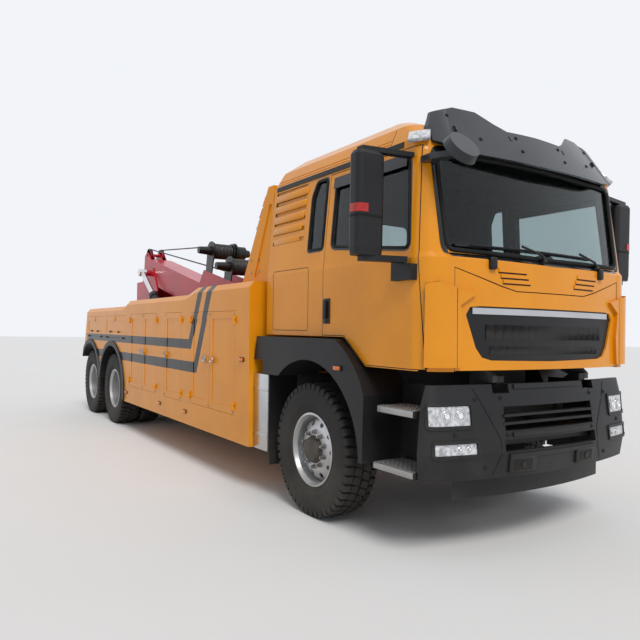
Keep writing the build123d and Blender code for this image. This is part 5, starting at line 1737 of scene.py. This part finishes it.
@dataclass
class FrontTrim:
    """Grille mesh and strip, visor screws, corner lamps, and the bumper's seams, bezels and covers."""

    # bottom, top and half width of each opening
    grille_rows: tuple[Point, ...] = ((1.479, 1.578, 0.64), (1.376, 1.43, 0.6))
    mesh_pitch: float = 0.016
    grille_panels: int = 16
    strip_z: float = 1.668
    # screws and seam as (Y, height) on one side
    visor_screws: tuple[Flat, ...] = ((0.78, 3.03), (0.24, 2.93), (0.24, 2.82), (0.6, 2.86))
    bumper_seam: tuple[Flat, ...] = ((0.733, 1.15), (0.54, 0.81), (0.535, 0.71), (0.6, 0.57))
    # width, height in the frame, and the bar's own height and thickness
    bumper_bars: tuple[Box, ...] = (
        (0.86, 0.83, 0.03, 0.024), (0.94, 0.69, 0.03, 0.024), (0.74, 1.152, 0.034, 0.02),
    )
    # bottom, top, inner and outer edge
    head_lamp: Box = (0.908, 1.035, 0.776, 1.07)
    fog_lamp: Box = (0.72, 0.79, 0.742, 1.045)
    # Y, height and radius
    reflectors: tuple[Point, ...] = (
        (0.852, 0.972, 0.048), (0.955, 0.972, 0.048), (0.8, 0.755, 0.024), (0.87, 0.755, 0.024),
    )
    screws: tuple[Flat, ...] = ((0.72, 1.075), (0.5, 1.08), (0.66, 0.62), (0.9, 0.85), (0.47, 0.83))

    def build(self, shop: Shop) -> None:
        """Make the front's trims.

        Args:
            shop: The frame and the palette.
        """
        self.shop = shop
        self.grille()
        self.visor()
        self.bumper()
        self.lamp_insides()

    def grille(self) -> None:
        """Fill the grille's openings with woven mesh over dark panels of painted shade, and lay the bright
        strip over them.
        """
        face = Skin(self.shop, "grille")
        shade_panels = Workpiece("grille_shadow_panels")
        mesh = Workpiece("grille_mesh")
        for low, high, half in self.grille_rows:
            height = high - low
            panel = 2 * half / self.grille_panels
            # dark panels behind each opening: painted shade inside the grille
            for index in range(self.grille_panels):
                y = -half + panel * (index + 0.5)
                point, _ = face.front(y, high + 0.012)
                shade_panels.block((0.004, panel + 0.001, height), (point.x - 0.0012, y, (low + high) / 2))
            count = int((2 * half + height) / self.mesh_pitch)
            for slant in (1, -1):
                for index in range(count):
                    foot = -half - height + self.mesh_pitch * index
                    start, end = max(-half, foot), min(half, foot + height)
                    if end - start < 0.004:
                        continue
                    z_start = low + (start - foot) if slant > 0 else high - (start - foot)
                    z_end = low + (end - foot) if slant > 0 else high - (end - foot)
                    x = face.front((start + end) / 2, high + 0.012)[0].x + 0.002
                    mesh.rod((x, start, z_start), (x, end, z_end), 0.0016, 4)
        self.shop.place(shade_panels, "front_flap", "seal", None)
        self.shop.place(mesh, "front_flap", "trim", None)
        strip = Workpiece("grille_bright_strip")
        strip.ribbon(face.across(1.51, self.strip_z, 20), 0.042, 0.014)
        self.shop.place(strip, "front_flap", "steel", 50.0)

    def visor(self) -> None:
        """Set the visor's screws and the lamps under its ends."""
        face = Skin(self.shop, "visor")
        screws = Workpiece("visor_screws")
        for y, z in self.visor_screws:
            for sign in (1, -1):
                laid = face.front(sign * y, z)
                screws.disc(laid, 0.014, 0.004)
                screws.disc(laid, 0.007, 0.007, 6)
        self.shop.place(screws, "cab", "seal", 35.0)
        roof = Skin(self.shop, "cab_roof", "cab_shell")
        lamps = Workpiece("roof_corner_lamps")
        for side in Side:
            laid = roof.corner(side, 2.83)
            lamps.seated(laid, (0.15, 0.125, 0.03), along=(1.0, -side.value, 0.0), bevel=0.01, sink=0.008)
        self.shop.place(lamps, "cab", "lens", 40.0)

    def frame_round(self, face: Skin, box: Box, sign: int) -> list[Laid]:
        """Lay a rounded frame round a lamp.

        Args:
            face: The bumper's surface.
            box: The lamp's bottom, top, inner and outer edge.
            sign: Sign of Y.

        Returns:
            Points just outside the lamp, with the way out.
        """
        low, high, near, far = box
        loop = eased(((near, low), (far, low), (far, high), (near, high)), 0.016)
        return [face.front(sign * y, z) for y, z in divided(grown(loop, 0.013), 0.06)]

    def bumper(self) -> None:
        """Lay the bumper's seams, lamp bezels, screw covers and tow covers, with a dark plate of painted
        shade in each tow cover's recess.
        """
        face = Skin(self.shop, "bumper", "lamps")
        bezels = Workpiece("lamp_bezels")
        seams = Workpiece("bumper_seams")
        covers = Workpiece("bumper_covers")
        for sign in (1, -1):
            for box in (self.head_lamp, self.fog_lamp):
                bezels.ribbon(sound(self.frame_round(face, box, sign)), 0.022, 0.02, True)
            path = [face.front(sign * y, z) for y, z in divided(self.bumper_seam, 0.06, False)]
            seams.ribbon(sound(path), 0.009, 0.003)
            for y, z in self.screws:
                laid = face.front(sign * y, z)
                covers.disc(laid, 0.017, 0.005)
                seams.disc(laid, 0.008, 0.0075, 6)
            point, out = face.front(sign * 0.35, 0.628)
            lid = (point + out * 0.016, out)
            covers.seated((point, out), (0.25, 0.105, 0.02), along=(0, 1, 0), bevel=0.008, sink=0.004)
            # a thin dark plate on each tow cover stands for its recess: painted shade
            seams.seated(lid, (0.16, 0.074, 0.002), along=(0, 1, 0))
            covers.disc(lid, 0.022, 0.008)
        for width, z, tall, thick in self.bumper_bars:
            covers.ribbon(sound(face.across(width, z, 12)), tall, thick)
        self.shop.place(bezels, "chassis", "trim", 45.0)
        self.shop.place(seams, "chassis", "seal", 45.0)
        self.shop.place(covers, "chassis", "trim", 45.0)

    def lamp_insides(self) -> None:
        """Show each lamp's reflectors and bulbs on its lens."""
        face = Skin(self.shop, "lamps")
        rings = Workpiece("lamp_reflectors")
        bulbs = Workpiece("lamp_bulbs")
        for sign in (1, -1):
            for y, z, radius in self.reflectors:
                point, out = face.front(sign * y, z)
                for share, rise in ((1.0, 0.003), (0.72, 0.005), (0.42, 0.007)):
                    ring = radius * share
                    section = [(0.0, ring - 0.006), (rise, ring - 0.004), (rise, ring), (0.0, ring + 0.001)]
                    rings.turned(section, point, out, 28)
                bulbs.disc((point, out), radius * 0.36, 0.006, 20)
        self.shop.place(rings, "chassis", "chrome", 40.0)
        self.shop.place(bulbs, "chassis", "bulb", 40.0)


# Body


@dataclass
class BodyTrim:
    """Leaf knobs and latches, handles, side markers, step treads, stainless skins and pylon bolts."""

    # letter, front and rear station, bottom, top, and the latch's station and height
    leaves: tuple[tuple[str, float, float, float, float, float, float], ...] = (
        ("a", -1.235, -1.86, 0.675, 1.695, -1.76, 1.185), ("b", -1.86, -2.39, 0.675, 1.695, -1.955, 1.185),
        ("c", -2.68, -3.27, 0.665, 1.7, -3.196, 1.184), ("d", -3.58, -4.15, 0.665, 1.7, -4.09, 1.18),
        ("e", -4.15, -4.76, 0.665, 1.7, -4.21, 1.18),
    )
    # letter, front and rear station, and bottom
    flaps: tuple[tuple[str, float, float, float], ...] = (
        ("f", -5.02, -6.17, 1.345), ("g", -6.33, -7.4, 1.345),
    )
    latch_y: float = 1.274
    knob_inset: float = 0.03
    markers: tuple[Flat, ...] = ((-1.078, 1.226), (-2.535, 0.56), (-3.425, 0.56), (-4.9, 0.56))
    # height, rear and front station of each entry step, and its studs' rows and columns
    steps: tuple[Point, ...] = ((1.0, 0.863, 1.252), (0.6, 0.83, 1.263))
    stud_rows: int = 6
    stud_columns: int = 9
    stud_margin: float = 0.035
    box_station: float = -0.7725

    def build(self, shop: Shop) -> None:
        """Make the body's trims.

        Args:
            shop: The frame and the palette.
        """
        self.shop = shop
        for side in Side:
            self.leaf_details(side)
        self.side_markers()
        self.step_treads()
        self.stainless()
        self.pylon_bolts()

    def leaf_details(self, side: Side) -> None:
        """Give one side's leaves their latches, corner knobs and handles.

        Args:
            side: Which side.
        """
        outward = Vector((0.0, side.value, 0.0))
        for name, front, rear, low, high, station, z in self.leaves:
            node = f"locker_{name}_{side.word}"
            face = Skin(self.shop, node)
            rings = Workpiece(f"leaf_latch_{name}_{side.word}")
            seat = Vector((at(station), side.value * self.latch_y, z))
            rings.turned([(0.0, 0.026), (0.005, 0.028), (0.006, 0.038), (0.0, 0.041)], seat, outward, 28)
            rings.disc((seat - outward * 0.004, outward), 0.012, 0.006, 16)
            for height in (high - self.knob_inset, low + self.knob_inset):
                for place in (front - self.knob_inset, rear + self.knob_inset):
                    rings.disc(face.flank(place, height, side), 0.008, 0.006, 14)
            self.shop.place(rings, node, "nut", 40.0)
        for name, front, rear, low in self.flaps:
            node = f"locker_{name}_{side.word}"
            face = Skin(self.shop, node)
            work = Workpiece(f"flap_handles_{name}_{side.word}")
            for share in (0.3, 0.7):
                station = front + (rear - front) * share
                laid = face.flank(station, low + 0.09, side)
                work.disc(laid, 0.013, 0.018, 16)
                work.seated((laid[0] + laid[1] * 0.016, laid[1]), (0.085, 0.018, 0.01), bevel=0.004)
            self.shop.place(work, node, "trim", 40.0)

    def side_markers(self) -> None:
        """Set the amber side markers on the body and the front fenders."""
        body = Skin(self.shop, "locker_body_left", "locker_body_right")
        fender = Skin(self.shop, "wheel_arches")
        seats = Workpiece("side_marker_seats")
        lamps = Workpiece("side_marker_lenses")
        for side in Side:
            laid = [body.flank(station, z, side) for station, z in self.markers]
            laid.append(fender.flank(0.458, 1.237, side))
            for point, out in laid:
                seats.seated((point, out), (0.1, 0.042, 0.008), bevel=0.003)
                lamps.seated((point + out * 0.008, out), (0.082, 0.03, 0.012), bevel=0.005)
        self.shop.place(seats, "chassis", "trim", 40.0)
        self.shop.place(lamps, "chassis", "amber", 40.0)

    def step_treads(self) -> None:
        """Lay a studded silver tread and its bright nosing on each entry step."""
        work = Workpiece("step_treads")
        for sign in (1, -1):
            for z, rear, front in self.steps:
                middle, run = (rear + front) / 2, front - rear - 0.02
                work.block((run, 0.262, 0.004), (at(middle), sign * 1.004, z + 0.002), None, 0.0015)
                work.block((run, 0.006, 0.042), (at(middle), sign * 1.1425, z - 0.02), None, 0.002)
                spread = front - rear - 2 * self.stud_margin
                for column in range(self.stud_columns):
                    for row in range(self.stud_rows):
                        x = at(rear + self.stud_margin + spread * column / (self.stud_columns - 1))
                        y = sign * (0.9 + 0.042 * row)
                        work.rod((x, y, z + 0.003), (x, y, z + 0.0062), 0.008, 8, 0.005)
        self.shop.place(work, "chassis", "tread_plate", 40.0)

    def stainless(self) -> None:
        """Skin the boxes behind the front wheels with bright sheet."""
        work = Workpiece("stainless_box_skins")
        for sign in (1, -1):
            x = at(self.box_station)
            work.block((0.27, 0.774, 0.694), (x, sign * 0.815, 0.765), None, 0.006)
            for z in (0.56, 0.97):
                work.block((0.274, 0.004, 0.03), (x, sign * 1.2035, z), None, 0.0015)
        self.shop.place(work, "chassis", "steel", 35.0)

    def pylon_bolts(self) -> None:
        """Set four bolt heads on each pylon's outer side."""
        body = Skin(self.shop, "body_deck")
        work = Workpiece("pylon_bolts")
        for side in Side:
            for z in (2.08, 2.2):
                for shift in (-0.07, 0.07):
                    work.disc(body.flank(-1.22 + shift, z, side), 0.012, 0.007, 6)
        self.shop.place(work, "chassis", "nut", 40.0)


# Seats


@dataclass
class CabSeats:
    """Two padded seats on pedestals, in place of the plain ones."""

    y: float = 0.68
    cushion: Point = (0.55, 0.5, 0.14)
    back: Point = (0.13, 0.48, 0.6)
    rest: Point = (0.09, 0.26, 0.22)

    def build(self, shop: Shop) -> None:
        """Make the cushions and their pedestals.

        Args:
            shop: The frame and the palette.
        """
        pads = Workpiece("seat_pads")
        frames = Workpiece("seat_pedestals")
        self.steering_wheel(shop)
        for sign in (1, -1):
            y = sign * self.y
            self.pad(pads, self.cushion, (at(0.115), y, 1.775), 3.0, 0.03)
            self.pad(pads, self.back, (at(-0.115), y, 2.14), -7.0, 0.02)
            self.pad(pads, self.rest, (at(-0.18), y, 2.53), -5.0, 0.014)
            frames.block((0.44, 0.33, 0.16), (at(0.1), y, 1.615), None, 0.02)
            frames.block((0.5, 0.4, 0.02), (at(0.1), y, 1.698), None, 0.006)
            for post in (-0.06, 0.06):
                frames.rod((at(-0.165), y + post, 2.4), (at(-0.172), y + post, 2.45), 0.007, 12)
        piece = shop.place(pads, "cab", "cloth", 180.0)
        round_off = piece.modifiers.new("rounding", "SUBSURF")
        round_off.levels = round_off.render_levels = 2
        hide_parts("seats")
        shop.place(frames, "cab", "dash", 35.0)

    def steering_wheel(self, shop: Shop) -> None:
        """Set the wheel with its spokes, hub and column before the driver.

        Args:
            shop: The frame and the palette.
        """
        work = Workpiece("steering_wheel")
        way = Vector((-0.42, 0.0, 0.91)).normalized()
        centre = Vector((at(0.6), self.y, 2.03))
        turns = [math.pi * step / 4 for step in range(8)]
        rim = [(0.017 * math.cos(turn), 0.225 + 0.014 * math.sin(turn)) for turn in turns]
        work.turned(rim, centre, way, 40)
        side = Vector((0.0, 1.0, 0.0))
        for spoke in (side, -side, side.cross(way)):
            work.rod(centre - way * 0.035, centre + spoke * 0.224, 0.014, 12, 0.01)
        work.rod(centre - way * 0.06, centre - way * 0.01, 0.055, 28, 0.045)
        work.rod(centre - way * 0.42, centre - way * 0.05, 0.036, 20)
        shop.place(work, "cab", "dash", 40.0)

    @staticmethod
    def pad(work: Workpiece, size: Point, centre: Point, lean: float, crown: float) -> None:
        """Add one cushion: crowned faces, sides that pull in, and two sewn channels.

        Args:
            work: The piece that it is added to.
            size: Whole lengths before the lean.
            centre: Its middle.
            lean: Turn about Y in degrees.
            crown: How much the broad faces swell.
        """
        cushion = Workpiece(work.name)
        verts = cushion.block(size, (0.0, 0.0, 0.0))
        bmesh.ops.subdivide_edges(cushion.bm, edges=edges_of(verts), cuts=7, use_grid_fill=True)
        verts = list(cushion.bm.verts)
        thin = min(range(3), key=lambda axis: size[axis])
        across = [axis for axis in range(3) if axis != thin]
        half = Vector(size) / 2
        for vert in verts:
            u, v = (vert.co[axis] / half[axis] for axis in across)
            fall = (1 - u * u) * (1 - v * v)
            channel = math.exp(-(((abs(vert.co.y) / half.y - 0.62) / 0.06) ** 2))
            swell = 1 + crown / size[thin] * fall - 0.12 * channel
            vert.co[thin] *= swell
            for axis in across:
                vert.co[axis] *= 1 - 0.03 * (1 - min(1.0, abs(vert.co[thin]) / half[thin]))
        turn = Matrix.Rotation(math.radians(lean), 3, "Y")
        bmesh.ops.rotate(cushion.bm, verts=verts, cent=(0, 0, 0), matrix=turn)
        bmesh.ops.translate(cushion.bm, verts=verts, vec=centre)
        made = bpy.data.meshes.new("cushion")
        cushion.bm.to_mesh(made)
        cushion.bm.free()
        work.bm.from_mesh(made)
        bpy.data.meshes.remove(made)


# Studio


@dataclass
class Studio:
    """Camera of the photograph, pale floor and plain soft light."""

    eye: Point = (7.72, -3.87, 1.52)
    yaw: float = 147.03
    pitch: float = -0.39
    roll: float = 1.06
    sensor: float = 36.0
    lens: float = 35.2
    shift_y: float = 0.0225
    far: float = 500.0
    sky: float = 0.5
    seen_sky: float = 0.95
    sky_colour: Box = (0.93, 0.95, 1.0, 1.0)
    sun: float = 2.0
    sun_width: float = 24.0
    sun_colour: RGB = (1.0, 0.97, 0.92)
    sun_way: Point = (-0.8, 0.22, -1.0)
    floor_size: float = 160.0
    floor_paint: tuple[RGB, RGB] = ((0.74, 0.745, 0.75), (0.78, 0.785, 0.79))

    def build(self) -> None:
        """Make the camera, the lights and the floor."""
        self.camera()
        self.light()
        self.floor()

    def camera(self) -> None:
        """Set the camera where the photograph was taken."""
        data = bpy.data.cameras.new("photo_camera")
        data.sensor_width = self.sensor
        data.lens = self.lens
        data.shift_y = self.shift_y
        data.clip_end = self.far
        camera = bpy.data.objects.new("photo_camera", data)
        bpy.context.scene.collection.objects.link(camera)
        yaw, pitch, roll = (math.radians(angle) for angle in (self.yaw, self.pitch, self.roll))
        level = math.cos(pitch)
        ahead = Vector((level * math.cos(yaw), level * math.sin(yaw), math.sin(pitch)))
        right = Vector((math.sin(yaw), -math.cos(yaw), 0.0))
        up = right.cross(ahead)
        turned_right = right * math.cos(roll) + up * math.sin(roll)
        turned_up = up * math.cos(roll) - right * math.sin(roll)
        axes = Matrix((turned_right, turned_up, -ahead)).transposed().to_4x4()
        camera.matrix_world = Matrix.Translation(self.eye) @ axes
        bpy.context.scene.camera = camera

    def light(self) -> None:
        """Set an even sky, white to the camera, and one wide soft sun."""
        world = bpy.data.worlds.new("studio_sky")
        bpy.context.scene.world = world
        world.use_nodes = True
        board = Board(world.node_tree)
        world.node_tree.nodes.clear()
        path = board.put("LightPath")
        seen = path.outputs["Is Camera Ray"]
        for ray in ("Is Transmission Ray", "Is Glossy Ray"):
            seen = board.maths("MAXIMUM", seen, path.outputs[ray])
        more = board.maths("MULTIPLY", seen, self.seen_sky - self.sky)
        strength = board.maths("ADD", more, self.sky)
        sky = board.put("Background")
        board.feed(sky, Color=self.sky_colour, Strength=strength)
        end = board.put("OutputWorld")
        board.wire(sky.outputs[0], end.inputs["Surface"])
        data = bpy.data.lights.new("soft_sun", "SUN")
        data.energy = self.sun
        data.angle = math.radians(self.sun_width)
        data.color = self.sun_colour
        lamp = bpy.data.objects.new("soft_sun", data)
        bpy.context.scene.collection.objects.link(lamp)
        lamp.rotation_mode = "QUATERNION"
        lamp.rotation_quaternion = Vector(self.sun_way).to_track_quat("-Z", "Y")

    def floor(self) -> None:
        """Lay the floor."""
        mesh = bmesh.new()
        bmesh.ops.create_grid(mesh, x_segments=1, y_segments=1, size=self.floor_size / 2)
        data = bpy.data.meshes.new("pale_floor")
        mesh.to_mesh(data)
        mesh.free()
        floor = bpy.data.objects.new("pale_floor", data)
        bpy.context.scene.collection.objects.link(floor)
        material = bpy.data.materials.new("pale_floor_paint")
        material.use_nodes = True
        board = Board(material.node_tree)
        shader = material.node_tree.nodes["Principled BSDF"]
        where = board.put("TexCoord").outputs["Object"]
        tone = board.blend(board.noise(where, 0.6, 4.0), *self.floor_paint)
        board.wire(tone, shader.inputs["Base Color"])
        shader.inputs["Roughness"].default_value = 0.85
        data.materials.append(material)


# Which finish each frame node gets


NODE_FINISHES = {
    "chassis": ("frame_rails", "running_gear", "boom_mast", "knuckle_left", "knuckle_right", "tie_rod"),
    "deck": ("body_deck",),
    "yellow": (
        "locker_body_left", "locker_body_right",
        *(f"locker_{leaf}_{side.word}" for leaf in "abcdefg" for side in Side),
    ),
    "plain_yellow": ("cab_shell", "cab_roof", "front_flap", "door_left", "door_right"),
    "trim": ("wheel_arches", "bumper", "grille", "mirror_left", "mirror_right", "side_steps"),
    "visor": ("visor",),
    "lens": ("lamps",),
    "glass": ("cab_glass", "door_glass_left", "door_glass_right"),
    "dash": ("dashboard",),
    "crimson": ("boom", "boom_inner", "underlift_arm", "underlift_stinger"),
    "winch": ("winches", "lift_barrels"),
    "chrome": ("lift_rods",),
    "cloth": ("seats",),
    "rubber": tuple(f"tyre_{axle}_{side.word}" for axle in AXLE_STATIONS for side in Side),
    "rim": tuple(f"rim_{axle}_{side.word}" for axle in AXLE_STATIONS for side in Side),
}


def main() -> None:
    """Load the frame, dress it and make every piece."""
    logging.basicConfig(level=logging.INFO, format="%(name)s: %(message)s")
    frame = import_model()
    shop = Shop(frame, Palette())
    Studio().build()
    for key, nodes in NODE_FINISHES.items():
        for node in nodes:
            shop.dress(node, key)
    for assembly in (Wheels(), Rigging(), CabSeats(), CabLining(), CabTrim(), FrontTrim(), BodyTrim()):
        LOG.info("building %s", type(assembly).__name__)
        assembly.build(shop)
    bpy.context.scene.view_settings.view_transform = "Standard"
    bpy.context.view_layer.update()


if __name__ == "__main__":
    main()
